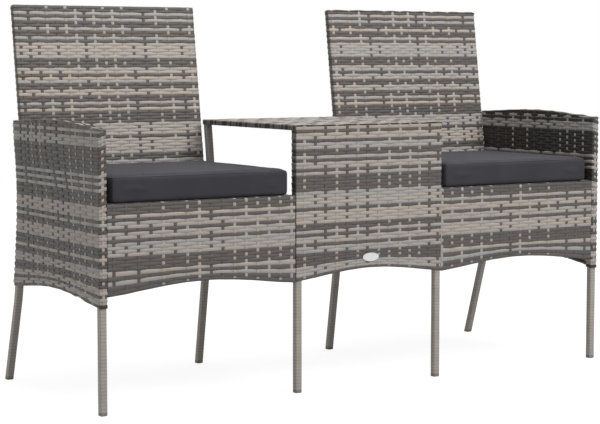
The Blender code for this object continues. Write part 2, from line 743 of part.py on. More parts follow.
def make_cushion(side, word):
    """Loose box cushion: flat where it rests, soft edges, crowned top, sides drawn in."""
    half_x = ARM_INNER_X - CUSHION_SIDE_GAP - SEAT_MIDDLE_X
    front_y = SKIN_FRONT_Y + CUSHION_SETBACK
    rear_y = back_face_y(DECK_HEIGHT) - CUSHION_REAR_GAP
    half_y = (rear_y - front_y) / 2
    base = DECK_HEIGHT + FIT
    middle_y = (front_y + rear_y) / 2
    edge = CUSHION_EDGE
    top = CUSHION_THICK
    levels = [(half_y * 0.5, 0), (edge, 0)]
    for turn in (30, 60, 90):
        t = math.radians(turn)
        levels.append((edge * (1 - math.sin(t)), edge * (1 - math.cos(t))))
    levels.append((0, top / 2))
    for turn in (0, 30, 60, 90):
        t = math.radians(turn)
        levels.append((edge * (1 - math.cos(t)), top - edge * (1 - math.sin(t))))
    for share in (0.25, 0.5, 0.75, 0.92):
        inset = edge + (half_y - edge) * share
        levels.append((inset, top + CUSHION_CROWN * math.sin(math.pi / 2 * share)))

    def build(bm):
        rings = []
        for inset, height in levels:
            ring = cushion_ring(inset, base + height, half_x, half_y)
            rings.append([(side * SEAT_MIDDLE_X + x, middle_y + y, z) for x, y, z in ring])
        loft(bm, rings)

    add_object(f"{word}_cushion", mesh_of("cushion", build), FABRIC, smooth=True)


def cylinder_mesh(name, start, along, radius, length):
    """Round bar from start along a direction."""
    side = along.orthogonal().normalized()
    up = along.cross(side)

    def ring(distance):
        turns = [2 * math.pi * i / BOLT_SIDES for i in range(BOLT_SIDES)]
        return [start + along * distance + (side * math.cos(t) + up * math.sin(t)) * radius for t in turns]

    return mesh_of(name, lambda bm: loft(bm, [ring(0), ring(length)]))


def bolt_rings(seat, along, length):
    """Shank and round head of a bolt whose head sits at seat and whose shank runs along."""
    side = along.orthogonal().normalized()
    up = along.cross(side)
    stations = [
        (length, BOLT_RADIUS * 0.8),
        (length - BOLT_RADIUS * 0.4, BOLT_RADIUS),
        (0, BOLT_RADIUS),
        (0, BOLT_HEAD_RADIUS),
        (-BOLT_HEAD_HEIGHT * 0.6, BOLT_HEAD_RADIUS),
        (-BOLT_HEAD_HEIGHT, BOLT_HEAD_RADIUS * 0.6),
    ]
    rings = []
    for distance, radius in stations:
        turns = [2 * math.pi * i / BOLT_SIDES for i in range(BOLT_SIDES)]
        rings.append([seat + along * distance + (side * math.cos(t) + up * math.sin(t)) * radius for t in turns])
    return rings


def bolt_places(side):
    """Name, head seat, direction and grip of each bolt on one side of the sofa."""
    outward = Vector((side, 0, 0))
    to_arm = ARM_X - HALF - (SEAT_FRAME_OUTER_X - TUBE)
    to_seat = SEAT_INNER_X - (TABLE_X - HALF)
    rear_y = y_at(INNER_POST, FRAME_MIDDLE)
    arm_seat = side * (SEAT_FRAME_OUTER_X - TUBE - FIT)
    table_seat = side * (TABLE_X - HALF - FIT)
    through_back = back_face_y(FRAME_MIDDLE) + COVER / math.cos(BACK_TILT) - (SEAT_REAR_Y - TUBE)
    frame_x = (SEAT_INNER_X + BACK_BOLT_INSET, SEAT_FRAME_OUTER_X - BACK_BOLT_INSET)
    rearward = Vector((0, 1, 0))
    return [
        ("front_arm_bolt", Vector((arm_seat, -HALF + BOLT_INSET, FRAME_MIDDLE)), outward, to_arm),
        ("rear_arm_bolt", Vector((arm_seat, SEAT_REAR_Y - BOLT_INSET, FRAME_MIDDLE)), outward, to_arm),
        ("front_table_bolt", Vector((table_seat, 0, FRAME_MIDDLE)), outward, to_seat),
        ("rear_table_bolt", Vector((table_seat, rear_y, FRAME_MIDDLE)), outward, to_seat),
        ("inner_back_bolt", Vector((side * frame_x[0], SEAT_REAR_Y - TUBE - FIT, FRAME_MIDDLE)), rearward,
         through_back),
        ("outer_back_bolt", Vector((side * frame_x[1], SEAT_REAR_Y - TUBE - FIT, FRAME_MIDDLE)), rearward,
         through_back),
    ]


def make_bolts(side, word, targets):
    """The bolts of one side, and a clearance hole for each through everything that it passes."""
    hole_rings = []
    for kind, seat, along, grip in bolt_places(side):
        length = FIT + grip + WALL + BOLT_THREAD
        name = f"{word}_{kind}"
        add_object(name, mesh_of(name, lambda bm: loft(bm, bolt_rings(seat, along, length))), ZINC, smooth=True)
        hole_rings.append((seat, along, length))

    def build(bm):
        for seat, along, length in hole_rings:
            side_way = along.orthogonal().normalized()
            up = along.cross(side_way)
            loops = []
            for distance in (-FIT / 2, length + FIT):
                ring = []
                for i in range(BOLT_SIDES):
                    t = 2 * math.pi * i / BOLT_SIDES
                    spoke = side_way * math.cos(t) + up * math.sin(t)
                    ring.append(seat + along * distance + spoke * (BOLT_RADIUS + FIT))
                loops.append(ring)
            loft(bm, loops)

    holes = helper(f"{word}_bolt_holes", mesh_of(f"{word}_bolt_holes", build))
    for target in targets:
        combine(target, holes, "DIFFERENCE")


table_legs, table_weave = make_table()
for side, word in ((-1, "left"), (1, "right")):
    drilled = make_arm(side, word) + make_back(side, word) + make_seat(side, word) + table_legs[side]
    drilled.append(table_weave)
    make_cushion(side, word)
    make_bolts(side, word, drilled)
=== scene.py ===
# %% [markdown]
# # A garden sofa for two, with a tea table in the middle
# Two woven armchairs share a raised tea table. Flat resin strips in two greys are woven over
# square tubes. This script dresses the packed frame: it weaves every panel strip by strip,
# pads the seat cushions, gives each tube, cap and bolt its finish, and sets up a white studio.
#
# The frame is a fixed model in metres, +Z up, with the front towards -Y.

import math

import bmesh
import bpy
import numpy as np
from mathutils import Matrix, Vector
from mathutils.bvhtree import BVHTree


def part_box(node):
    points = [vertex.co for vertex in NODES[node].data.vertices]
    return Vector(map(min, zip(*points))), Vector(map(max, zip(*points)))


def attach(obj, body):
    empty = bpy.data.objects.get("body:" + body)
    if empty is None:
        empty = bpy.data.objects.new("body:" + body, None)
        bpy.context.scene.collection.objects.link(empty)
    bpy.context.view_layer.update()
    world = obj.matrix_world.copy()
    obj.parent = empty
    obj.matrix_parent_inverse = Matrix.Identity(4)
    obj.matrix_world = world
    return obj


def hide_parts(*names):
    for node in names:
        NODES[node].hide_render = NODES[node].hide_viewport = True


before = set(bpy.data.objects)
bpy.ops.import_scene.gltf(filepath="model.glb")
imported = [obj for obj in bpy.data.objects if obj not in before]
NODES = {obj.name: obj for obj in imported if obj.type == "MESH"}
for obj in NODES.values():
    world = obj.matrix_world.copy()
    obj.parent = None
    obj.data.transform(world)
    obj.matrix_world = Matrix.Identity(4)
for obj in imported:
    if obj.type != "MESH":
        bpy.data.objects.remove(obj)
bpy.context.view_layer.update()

# %% [markdown]
# ## Sizes read from the frame
# Everything is placed from the frame's own boxes, so a woven panel lies where its solid is.
# `LEG_Y` is the line on which the front legs stand.


# %% Measure the frame
def low_high(node, axis):
    """Lowest and highest coordinate of a frame node along axis 0, 1 or 2."""
    low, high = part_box(node)
    return low[axis], high[axis]


LEG_Y = sum(low_high("left_arm_front_leg", 1)) / 2
ARM_IN_X, ARM_OUT_X = low_high("right_arm_weave", 0)
FRONT_Y, ARM_REAR_Y = low_high("right_arm_weave", 1)
ARM_LOW_Z = low_high("right_arm_weave", 2)[0]
SEAT_IN_X, SEAT_OUT_X = low_high("right_apron_weave", 0)
APRON_LOW_Z, DECK_Z = low_high("right_apron_weave", 2)
DECK_REAR_Y = low_high("right_seat_deck", 1)[1]
TABLE_X = low_high("table_front_weave", 0)[1]
TABLE_REAR_Y = low_high("table_top_weave", 1)[1]
SLAB_LOW_Z, TABLE_Z = low_high("table_top_weave", 2)
BACK_IN_X, BACK_OUT_X = low_high("right_back_weave", 0)
BACK_REAR_Y = low_high("right_back_weave", 1)[1]
BACK_LOW_Z, BACK_TOP_Z = low_high("right_back_weave", 2)
SIDES = ((-1, "left"), (1, "right"))
print("front legs at y", round(LEG_Y, 4), " arm", round(ARM_IN_X, 4), round(ARM_OUT_X, 4),
      " seat", round(SEAT_IN_X, 4), round(SEAT_OUT_X, 4), " deck", round(DECK_Z, 4),
      " table", round(TABLE_X, 4), round(TABLE_Z, 4))

# %% [markdown]
# ## The camera
# The view is from the left and slightly above the table. The lens is a long one, so the two
# backs keep nearly the same height. A camera could be set by eye, but then no strip could be
# compared with the real one. So its numbers were fitted to the feet, the tops of the backs, the
# arms and the table.

# %% Place the camera
SENSOR = 36.0
FOCAL = 105.636
YAW, PITCH = math.radians(32.231), math.radians(5.048)
CAMERA_PLACE = (-2.1874, -3.187 + LEG_Y, 0.7251)
camera_data = bpy.data.cameras.new("camera")
camera_data.sensor_width = SENSOR
camera_data.lens = FOCAL
camera_data.clip_end = 30
camera = bpy.data.objects.new("camera", camera_data)
bpy.context.scene.collection.objects.link(camera)
forward = Vector((math.sin(YAW) * math.cos(PITCH), math.cos(YAW) * math.cos(PITCH),
                  -math.sin(PITCH)))
camera.location = CAMERA_PLACE
camera.rotation_euler = forward.to_track_quat("-Z", "Y").to_euler()
bpy.context.scene.camera = camera
print("camera at", [round(c, 3) for c in camera.location], " lens", camera_data.lens)

# %% [markdown]
# ## How a strip is described
# Each strip is a line along its middle, with values at every point. `lay` is the way out of the
# panel, `beat` counts the crossings, `play` says how much the strip swings there, `kind` is 1
# for a strip laid across and -1 for an upright stake, `shade` is 0 for dark and 1 for light
# resin, and below 0 it goes towards nearly black at -1: the arms' dark strips lie a little below
# 0, and the rest below 0 is painted shade. `breadth` is its width as a share of a full strip.
#
# At an even beat a strip laid across passes in front of the stake, and at an odd beat behind it.
#
# A picture of a weave on flat cards would be lighter. But on the real object the crossings show
# in the outline and in the shade, so every strip here is real.

# %% Collect strips
PITCH_Z = 0.00695         # from one strip to the next
WIDTH = 0.0073            # of a full strip: neighbours just overlap
THICK = 0.0008
SINK = 0.0011             # middle of the weave below the outside of the panel
STEP = 0.0046             # longest piece of the line of a strip laid across
STAKE_STEP = 0.0036       # and of a stake's line
SHORTEST = 0.0006         # points on a line stand further apart than this


class Weave:
    """Gathers the lines of one woven panel and turns them into one mesh of edges."""

    def __init__(self, seed):
        self.random = np.random.RandomState(seed)
        self.parts = []
        self.count = 0
        self.edges = []

    def add(self, points, lay, beat, play, kind, shade, breadth, closed=False):
        """Adds one strip. Its tone, a slight cast of its own, is drawn at random."""
        n = len(points)
        tone = self.random.uniform(-1, 1)
        values = [np.broadcast_to(np.asarray(value, float), (n,))
                  for value in (beat, play, kind, shade, breadth, tone)]
        self.parts.append([np.asarray(points, float), np.asarray(lay, float)] + values)
        first = np.arange(n - 1) + self.count
        self.edges.append(np.stack([first, first + 1], 1))
        if closed:
            self.edges.append(np.array([[self.count + n - 1, self.count]]))
        self.count += n

    def mesh(self, name):
        """One mesh of loose edges, with the strips' values as point attributes."""
        points = np.concatenate([p[0] for p in self.parts])
        mesh = bpy.data.meshes.new(name)
        edges = np.concatenate(self.edges)
        mesh.vertices.add(len(points))
        mesh.vertices.foreach_set("co", points.ravel().astype(np.float32))
        mesh.edges.add(len(edges))
        mesh.edges.foreach_set("vertices", edges.ravel().astype(np.int32))
        lay = np.concatenate([p[1] for p in self.parts]).astype(np.float32)
        mesh.attributes.new("lay", "FLOAT_VECTOR", "POINT").data.foreach_set("vector", lay.ravel())
        for index, label in enumerate(("beat", "play", "kind", "shade", "breadth", "tone"), 2):
            values = np.concatenate([p[index] for p in self.parts]).astype(np.float32)
            mesh.attributes.new(label, "FLOAT", "POINT").data.foreach_set("value", values)
        mesh.update()
        return mesh


def stripes(text, dark=0.0):
    """Shades from counts: 'D2 L1 B1' is two dark strips, a light one and one painted nearly black
    as shade.

    `dark` is the shade of a dark strip.
    """
    shades = []
    for word in text.split():
        shades += [{"L": 1.0, "D": dark, "B": -1.0}[word[0]]] * int(word[1:])
    return shades


print("pitch", PITCH_Z, " strip", WIDTH, "x", THICK)

# %% [markdown]
# A strip turns corners: round a post, over an edge, or back behind a leg. A Bezier curve could
# round them, but the places of its crossings would be hard to find. So a line is given by its
# corners, and this class rounds them with short arcs and finds places by length.


# %% Rounded lines
class Profile:
    """A line in a plane with its corners rounded, read by its length.

    The way out starts along `out` and keeps to that side of the line.
    """

    ARC = 4                              # pieces of a rounded corner
    STRAIGHT = math.radians(86)          # half angle from which a corner stays as it is
    TRIES = 4000                         # places tried by a search

    def __init__(self, corners, radius, out, closed=False):
        corners = [np.array(c, float) for c in corners]
        count = len(corners)
        points, ways = [], []
        for i, corner in enumerate(corners):
            if not closed and i in (0, count - 1):
                other = corners[1] if i == 0 else corners[-2]
                way = (other - corner) if i == 0 else (corner - other)
                way = way / np.linalg.norm(way)
                points.append(corner)
                ways.append((-way[1], way[0]))
                continue
            before = corners[i - 1] - corner
            after = corners[(i + 1) % count] - corner
            room = min(np.linalg.norm(before), np.linalg.norm(after)) / 2
            before, after = before / np.linalg.norm(before), after / np.linalg.norm(after)
            half = math.acos(max(-1, min(1, float(before @ after)))) / 2
            size = min(radius, room * math.tan(half))
            if half > self.STRAIGHT:
                points.append(corner)
                ways.append((before[1], -before[0]))
                continue
            reach = size / math.tan(half)
            inwards = (before + after) / np.linalg.norm(before + after)
            middle = corner + inwards * size / math.sin(half)
            right_turn = before[0] * after[1] - before[1] * after[0] > 0
            first = (corner + before * reach - middle) / size
            last = (corner + after * reach - middle) / size
            angle = math.pi - 2 * half
            for j in range(self.ARC + 1):
                share = j / self.ARC
                a = math.sin((1 - share) * angle) / math.sin(angle)
                b = math.sin(share * angle) / math.sin(angle)
                radial = first * a + last * b
                points.append(middle + radial * size)
                ways.append(tuple(radial if right_turn else -radial))
        if closed:
            points.append(points[0])
            ways.append(ways[0])
        self.points = np.array(points)
        self.ways = np.array(ways)
        if self.ways[0] @ np.array(out, float) < 0:
            self.ways = -self.ways
        pieces = np.linalg.norm(np.diff(self.points, axis=0), axis=1)
        self.s = np.concatenate([[0], np.cumsum(pieces)])
        self.length = self.s[-1]

    def at(self, s):
        """Points and ways out at the lengths s."""
        s = np.asarray(s, float)
        point = np.stack([np.interp(s, self.s, self.points[:, i]) for i in (0, 1)], -1)
        way = np.stack([np.interp(s, self.s, self.ways[:, i]) for i in (0, 1)], -1)
        return point, way / np.linalg.norm(way, axis=-1, keepdims=True)

    def find(self, axis, value, low=0.0, high=1.0):
        """Length at which a coordinate reaches a value, searched between two shares of the line."""
        s = np.linspace(low * self.length, high * self.length, self.TRIES)
        return float(s[np.argmin(abs(self.at(s)[0][:, axis] - value))])

    def samples(self, marks, step=STEP):
        """Lengths of a strip's points: corners, crossings and even steps between them."""
        knots = np.concatenate([[0.0, self.length], self.s, np.asarray(marks, float)])
        knots = np.unique(knots[(knots >= 0) & (knots <= self.length)])
        keep = [knots[0]]
        for knot in knots[1:]:
            if knot - keep[-1] > SHORTEST:
                keep.append(knot)
        keep[-1] = self.length
        dense = [keep[0]]
        for a, b in zip(keep, keep[1:]):
            n = max(1, int(math.ceil((b - a) / step - 0.01)))
            dense += [a + (b - a) * (i + 1) / n for i in range(n)]
        return np.array(dense)


print("a rounded corner has", Profile.ARC, "pieces")

# %% [markdown]
# Four helpers serve the panels. The last one places the rows of a panel with an arched hem. A
# plain weave could be cut off along the arch, but the real rows follow it and share the room
# above it, so here they do too.


# %% Places of the rows
def ease(x):
    """Rises smoothly from 0 to 1 as x goes from 0 to 1."""
    x = np.clip(x, 0, 1)
    return x * x * (3 - 2 * x)


def unit(arrows):
    """The same directions, each of length 1."""
    return arrows / np.linalg.norm(arrows, axis=1)[:, None]


def hold(s, marks, reach=0.012):
    """Play of a strip: full between its first and last crossing, less where it hugs a corner."""
    past = np.maximum(np.maximum(marks[0] - s, s - marks[-1]), 0)
    return 1 - 0.4 * ease(past / reach)


HEM_ROOM = 0.0025         # from the middle of the last row to the hem


def place_rows(k, first, pitch, level, last, hem):
    """Height of row k and its width as a share of a full strip.

    Steps are even down to row `level`. Below it the rows share the room above the hem, and each
    is as wide as its own room.
    """
    step = (first - pitch * level - hem - HEM_ROOM) / (last - level)
    height = first - pitch * np.minimum(k, level) - step * np.maximum(k - level, 0)
    shared = np.where(k == level, np.maximum(pitch, (pitch + step) / 2), pitch)
    room = np.where(k > level, step, shared)
    return height, np.clip(room / PITCH_Z, 0.6, 1.5)


print("room under the last row", HEM_ROOM)

# %% [markdown]
# ## The strip maker
# One Geometry Nodes tree turns the lines into flat strips. It moves every line point out or in
# by the wave of its beat, turns a thin rounded band along the line with its flat side on the
# panel, and hands its values on to the material: `across` runs over the width of a strip. Each
# strip could be a curve object of its own, but that would make hundreds of objects. The tree runs
# once for a whole panel, and its sizes are named inputs.


# %% Build the strip tree
SWING = 0.0005            # out and in of a strip laid across
STAKE_SHARE = 0.45        # a stake's swing as a share of a row's
WANDER = 0.0003           # how far a strip strays from its line
STRAY_SCALE = 24.0        # of the noise that leads it astray
STRAY_STEP = 3.7          # tells the strays of two strips apart
FLATNESS = 0.28           # the lower, the flatter the band and the tighter its edges


def strip_tree():
    tree = bpy.data.node_groups.new("woven_strips", "GeometryNodeTree")
    tree.interface.new_socket("Geometry", in_out="INPUT", socket_type="NodeSocketGeometry")
    for label, default in (("Strip width", WIDTH), ("Strip thickness", THICK), ("Row swing", SWING),
                           ("Stake swing", STAKE_SHARE * SWING), ("Wander", WANDER), ("Seed", 1.0)):
        socket = tree.interface.new_socket(label, in_out="INPUT", socket_type="NodeSocketFloat")
        socket.default_value = default
    tree.interface.new_socket("Material", in_out="INPUT", socket_type="NodeSocketMaterial")
    tree.interface.new_socket("Geometry", in_out="OUTPUT", socket_type="NodeSocketGeometry")
    nodes, links = tree.nodes, tree.links
    given = nodes.new("NodeGroupInput")
    result = nodes.new("NodeGroupOutput")

    def value(name, kind="FLOAT"):
        node = nodes.new("GeometryNodeInputNamedAttribute")
        node.data_type = kind
        node.inputs["Name"].default_value = name
        return node.outputs["Attribute"]

    def number(operation, a, b=None):
        node = nodes.new("ShaderNodeMath")
        node.operation = operation
        for socket, item in zip(node.inputs, (a, b)):
            if isinstance(item, (int, float)):
                socket.default_value = item
            elif item is not None:
                links.new(item, socket)
        return node.outputs[0]

    def arrow(operation, a, b=None, scale=None):
        node = nodes.new("ShaderNodeVectorMath")
        node.operation = operation
        links.new(a, node.inputs[0])
        if isinstance(b, tuple):
            node.inputs[1].default_value = b
        elif b is not None:
            links.new(b, node.inputs[1])
        if scale is not None:
            links.new(scale, node.inputs["Scale"])
        return node.outputs[0]

    turn = number("COSINE", number("MULTIPLY", value("beat"), math.pi))
    wave = number("MULTIPLY", turn, value("play"))
    is_row = number("GREATER_THAN", value("kind"), 0.0)
    row_part = number("MULTIPLY", given.outputs["Row swing"], is_row)
    stake_part = number("MULTIPLY", given.outputs["Stake swing"], number("SUBTRACT", is_row, 1.0))
    rise = number("MULTIPLY", wave, number("ADD", row_part, stake_part))

    place = nodes.new("GeometryNodeInputPosition").outputs[0]
    shift = nodes.new("ShaderNodeCombineXYZ")
    links.new(number("MULTIPLY", value("tone"), STRAY_STEP), shift.inputs[0])
    links.new(given.outputs["Seed"], shift.inputs[2])
    noise = nodes.new("ShaderNodeTexNoise")
    noise.inputs["Scale"].default_value = STRAY_SCALE
    noise.inputs["Detail"].default_value = 1.0
    links.new(arrow("ADD", place, shift.outputs[0]), noise.inputs["Vector"])
    stray = arrow("SCALE", arrow("SUBTRACT", noise.outputs["Color"], (0.5, 0.5, 0.5)),
                  scale=number("MULTIPLY", given.outputs["Wander"], 3.0))
    offset = arrow("ADD", arrow("SCALE", value("lay", "FLOAT_VECTOR"), scale=rise), stray)

    curve = nodes.new("GeometryNodeMeshToCurve")
    links.new(given.outputs["Geometry"], curve.inputs["Mesh"])
    moved = nodes.new("GeometryNodeSetPosition")
    links.new(curve.outputs["Curve"], moved.inputs["Geometry"])
    links.new(offset, moved.inputs["Offset"])
    turned = nodes.new("GeometryNodeSetCurveNormal")
    turned.mode = "FREE"
    links.new(moved.outputs["Geometry"], turned.inputs["Curve"])
    links.new(value("lay", "FLOAT_VECTOR"), turned.inputs["Normal"])
    measured = nodes.new("GeometryNodeStoreNamedAttribute")
    measured.data_type, measured.domain = "FLOAT", "POINT"
    measured.inputs["Name"].default_value = "along"
    links.new(turned.outputs["Curve"], measured.inputs["Geometry"])
    links.new(nodes.new("GeometryNodeSplineParameter").outputs["Length"], measured.inputs["Value"])

    circle = nodes.new("GeometryNodeCurvePrimitiveCircle")
    circle.inputs["Resolution"].default_value = 6
    circle.inputs["Radius"].default_value = 1.0
    parts = nodes.new("ShaderNodeSeparateXYZ")
    links.new(nodes.new("GeometryNodeInputPosition").outputs[0], parts.inputs[0])
    side = number("MULTIPLY", number("SIGN", parts.outputs[0]),
                  number("POWER", number("ABSOLUTE", parts.outputs[0]), FLATNESS))
    height = number("DIVIDE", parts.outputs[1], math.sqrt(3))     # the hexagon's height becomes 1
    tagged = nodes.new("GeometryNodeStoreNamedAttribute")
    tagged.data_type, tagged.domain = "FLOAT", "POINT"
    tagged.inputs["Name"].default_value = "across"
    links.new(circle.outputs["Curve"], tagged.inputs["Geometry"])
    links.new(side, tagged.inputs["Value"])
    flat = nodes.new("ShaderNodeCombineXYZ")
    links.new(number("MULTIPLY", height, given.outputs["Strip thickness"]), flat.inputs[0])
    links.new(number("MULTIPLY", number("MULTIPLY", side, 0.5), given.outputs["Strip width"]),
              flat.inputs[1])
    band = nodes.new("GeometryNodeSetPosition")
    links.new(tagged.outputs["Geometry"], band.inputs["Geometry"])
    links.new(flat.outputs[0], band.inputs["Position"])

    swept = nodes.new("GeometryNodeCurveToMesh")
    swept.inputs["Fill Caps"].default_value = True
    links.new(measured.outputs["Geometry"], swept.inputs["Curve"])
    links.new(band.outputs["Geometry"], swept.inputs["Profile Curve"])
    links.new(value("breadth"), swept.inputs["Scale"])
    smooth = nodes.new("GeometryNodeSetShadeSmooth")
    links.new(swept.outputs["Mesh"], smooth.inputs["Geometry"])
    real = nodes.new("GeometryNodeRealizeInstances")
    links.new(smooth.outputs["Geometry"], real.inputs["Geometry"])
    painted = nodes.new("GeometryNodeSetMaterial")
    links.new(real.outputs["Geometry"], painted.inputs["Geometry"])
    links.new(given.outputs["Material"], painted.inputs["Material"])
    links.new(painted.outputs["Geometry"], result.inputs["Geometry"])
    return tree


STRIP_TREE = strip_tree()


def set_inputs(modifier, **values):
    """Sets a tree's named inputs on a modifier by their socket identifiers."""
    for item in modifier.node_group.interface.items_tree:
        label = item.name.replace(" ", "_")
        if getattr(item, "in_out", "") == "INPUT" and label in values:
            modifier[item.identifier] = values[label]


def weave_object(name, weave, material, seed, swing=SWING):
    """Runs the strip tree on a panel's lines and keeps the result as a plain mesh."""
    source = bpy.data.objects.new(name + "_lines", weave.mesh(name + "_lines"))
    bpy.context.scene.collection.objects.link(source)
    modifier = source.modifiers.new("strips", "NODES")
    modifier.node_group = STRIP_TREE
    set_inputs(modifier, Strip_width=WIDTH, Strip_thickness=THICK, Row_swing=swing,
               Stake_swing=STAKE_SHARE * swing, Wander=WANDER, Seed=float(seed), Material=material)
    graph = bpy.context.evaluated_depsgraph_get()
    mesh = bpy.data.meshes.new_from_object(source.evaluated_get(graph), depsgraph=graph)
    bpy.data.objects.remove(source)
    mesh.name = name
    obj = bpy.data.objects.new(name, mesh)
    bpy.context.scene.collection.objects.link(obj)
    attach(obj, "sofa_frame")
    mesh.calc_loop_triangles()
    print(name, ":", len(weave.parts), "strips,", len(mesh.loop_triangles), "triangles")
    return obj


print("tree", STRIP_TREE.name, ":", len(STRIP_TREE.nodes), "nodes")

# %% [markdown]
# ## The backs
# Each back is a tilted slab, open behind. A strip laid across comes from the lip behind the slab,
# goes round its side, over the face and round the other side. A stake starts at the lip, goes
# over the top edge and down the face. The weave could be laid upright and then turned, but its
# heights are easier to compare where it stands, so `on_back` tilts every point by itself.
#
# Light and dark strips are given as counts, in the order in which the real panel has them.

# %% Rows and stakes of a back
BACK_TILT = math.radians(8.07)
BACK_THICK = 0.0152
SIDE_LIFT = 0.0012        # the sides of a back are less sunk than its face
LIP = 0.0131              # how far a strip goes in behind the frame
TOP_CURL = 0.0035         # radius over the top edge
SIDE_CURL = 0.0006        # and round the sides
CURL_ROOM = 0.012         # no curve reaches this far from the top edge
BACK_PITCH = PITCH_Z / math.cos(BACK_TILT)
UP = np.array((0, math.sin(BACK_TILT), math.cos(BACK_TILT)))
OUT = np.array((0, -math.cos(BACK_TILT), math.sin(BACK_TILT)))
ACROSS = np.array((1.0, 0, 0))
BACK_FULL = BACK_TOP_Z / math.cos(BACK_TILT)
BACK_LOW = BACK_LOW_Z / math.cos(BACK_TILT) + 0.0022
BACK_FOOT_Y = BACK_REAR_Y - BACK_FULL * math.sin(BACK_TILT) - BACK_THICK * math.cos(BACK_TILT)
BACK_FOOT = np.array((0, BACK_FOOT_Y, 0))
BACK_ROWS = stripes("D1 L1 D1 L1 D2 L1 D2 L1 D1 L5 D3 L2 D1 L2 D2 L2 D2 L1 D1 L1 D4 L4 D1 L5 "
                    "D2 L2 D1 L1 D3 L2 D2 L3 D1 L2 D3 L4")
BACK_EDGE_ROWS = stripes("D2 L1 D1 L1 D1")
BACK_STAKES = stripes("L1 D1 L2 D2 L4 D1 L2 D1 L1 D3")
BACK_GAPS = {             # millimetres from stake to stake, from the table outwards
    -1: [23, 33, 31, 31, 30, 25, 24, 23, 24, 23, 22, 24, 22, 24, 23, 21, 22],
    1: [19, 31, 30, 28, 27, 23, 24, 23, 24, 24, 26, 25, 25, 25, 24, 24, 22],
}
BACK_START = {-1: 0.0133, 1: 0.0123}         # to the first stake
BACK_TOP_ROW = {-1: 0.0113, 1: 0.0078}       # to the first row of the face
print(len(BACK_ROWS), "rows and", len(BACK_STAKES), "stakes on the face of a back")

# %% [markdown]
# Rows on the face go all the way round to the lip. Rows over the top edge only bend down at their
# ends, and behind the edge they end at its sides.


# %% Weave the backs
def on_back(x, up, depth):
    """Points on a back from distance across, distance up the tilt and depth behind the face."""
    x, up, depth = np.broadcast_arrays(x, up, depth)
    return BACK_FOOT + x[:, None] * ACROSS + up[:, None] * UP - depth[:, None] * OUT


def back_rows(side, crown):
    """Number, length along the crown and shade of every row of a back, edge rows first."""
    corner = crown.find(0, BACK_FULL - CURL_ROOM, 0.05, 1.0) - CURL_ROOM
    rows = []
    for k in range(-len(BACK_EDGE_ROWS), len(BACK_ROWS)):
        s = corner + BACK_TOP_ROW[side] + BACK_PITCH * k
        if 0.002 < s < crown.length - 0.002:
            rows.append((k, s, BACK_ROWS[k] if k >= 0 else BACK_EDGE_ROWS[-k - 1]))
    return rows


def weave_back(side, seed):
    weave = Weave(seed)
    inner, outer = side * (BACK_IN_X - SIDE_LIFT), side * (BACK_OUT_X + SIDE_LIFT)
    left, right = inner + side * SINK, outer - side * SINK
    deep = BACK_THICK - SINK
    stakes = side * (BACK_IN_X + BACK_START[side]) + side * np.cumsum([0] + BACK_GAPS[side]) / 1000
    section = Profile([(inner + side * LIP, deep), (left, deep), (left, SINK), (right, SINK),
                       (right, deep), (outer - side * LIP, deep)], SIDE_CURL, (0, 1))
    crown = Profile([(BACK_FULL - LIP, deep), (BACK_FULL - SINK, deep), (BACK_FULL - SINK, SINK),
                     (BACK_LOW, SINK)], TOP_CURL, (0, 1))
    marks = np.array([section.find(0, x, 0.05, 0.95) for x in stakes])
    beats = np.arange(len(stakes)) + 0.0
    rows = back_rows(side, crown)
    for k, s, shade in rows:
        (up, depth), (way_up, way_depth) = crown.at(s)
        if k >= 0 and way_depth < -0.99:
            at = section.samples(marks)
            flat, way = section.at(at)
            wrap = np.minimum(ease((abs(way[:, 0]) - 0.1) / 0.6) + (way[:, 1] > 0.5), 1)
            # Painted shade: rows are darkened where they turn round the sides of the back and
            # behind it.
            weave.add(on_back(flat[:, 0], up, flat[:, 1]), way[:, :1] * ACROSS - way[:, 1:] * OUT,
                      np.interp(at, marks, beats) + k, hold(at, marks), 1,
                      shade - (0.5 + 0.3 * shade) * wrap, 1 - 0.10 * wrap)
        else:
            bent = Profile([(left, up - 0.006), (left, up), (right, up), (right, up - 0.006)],
                           0.003, (-side, 0))
            if way_up < 0.5:
                bent = Profile([(left, up), (right, up)], 0.003, (0, 1))
            ends = np.array([bent.find(0, x, 0.02, 0.98) for x in stakes])
            at = bent.samples(ends)
            flat, way = bent.at(at)
            lay = way[:, :1] * ACROSS + (1 - abs(way[:, :1])) * (way_up * UP - way_depth * OUT)
            weave.add(on_back(flat[:, 0], flat[:, 1], depth), unit(lay),
                      np.interp(at, ends, beats) + k, hold(at, ends), 1, shade, 1.0)
    row_s = np.array([s for _, s, _ in rows])
    row_k = np.array([float(k) for k, _, _ in rows])
    for i, x in enumerate(stakes):
        at = crown.samples(row_s, STAKE_STEP)
        flat, way = crown.at(at)
        weave.add(on_back(x, flat[:, 0], flat[:, 1]), way[:, :1] * UP - way[:, 1:] * OUT,
                  np.interp(at, row_s, row_k) + beats[i], 1, -1, BACK_STAKES[i], 1.0)
    return weave


backs = {}
for side, word in SIDES:
    backs[side] = weave_back(side, 10 + side)
    print(word, "back :", len(backs[side].parts), "strips")

# %% [markdown]
# ## The arms
# An arm is woven all round. A strip laid across runs along the outside, round the rear post,
# back along the inside and round the front leg. Below the seat it stops at a lip inside.
# The outline of an arm, with its crowned top, leaning rear post and arched lower edge, could be
# typed in again. It is read from the frame's solid instead, so the two can't drift apart.

# %% Read the arm's outline
def points_of(mesh):
    """The corners of a mesh as an array."""
    points = np.empty(len(mesh.vertices) * 3)
    mesh.vertices.foreach_get("co", points)
    return points.reshape(-1, 3)


def outline_points(node, axis, value):
    """Corners of a frame node that lie in a plane, as an array."""
    turn = np.array(NODES[node].matrix_world)
    points = points_of(NODES[node].data) @ turn[:3, :3].T + turn[:3, 3]
    return points[abs(points[:, axis] - value) < 2e-4]


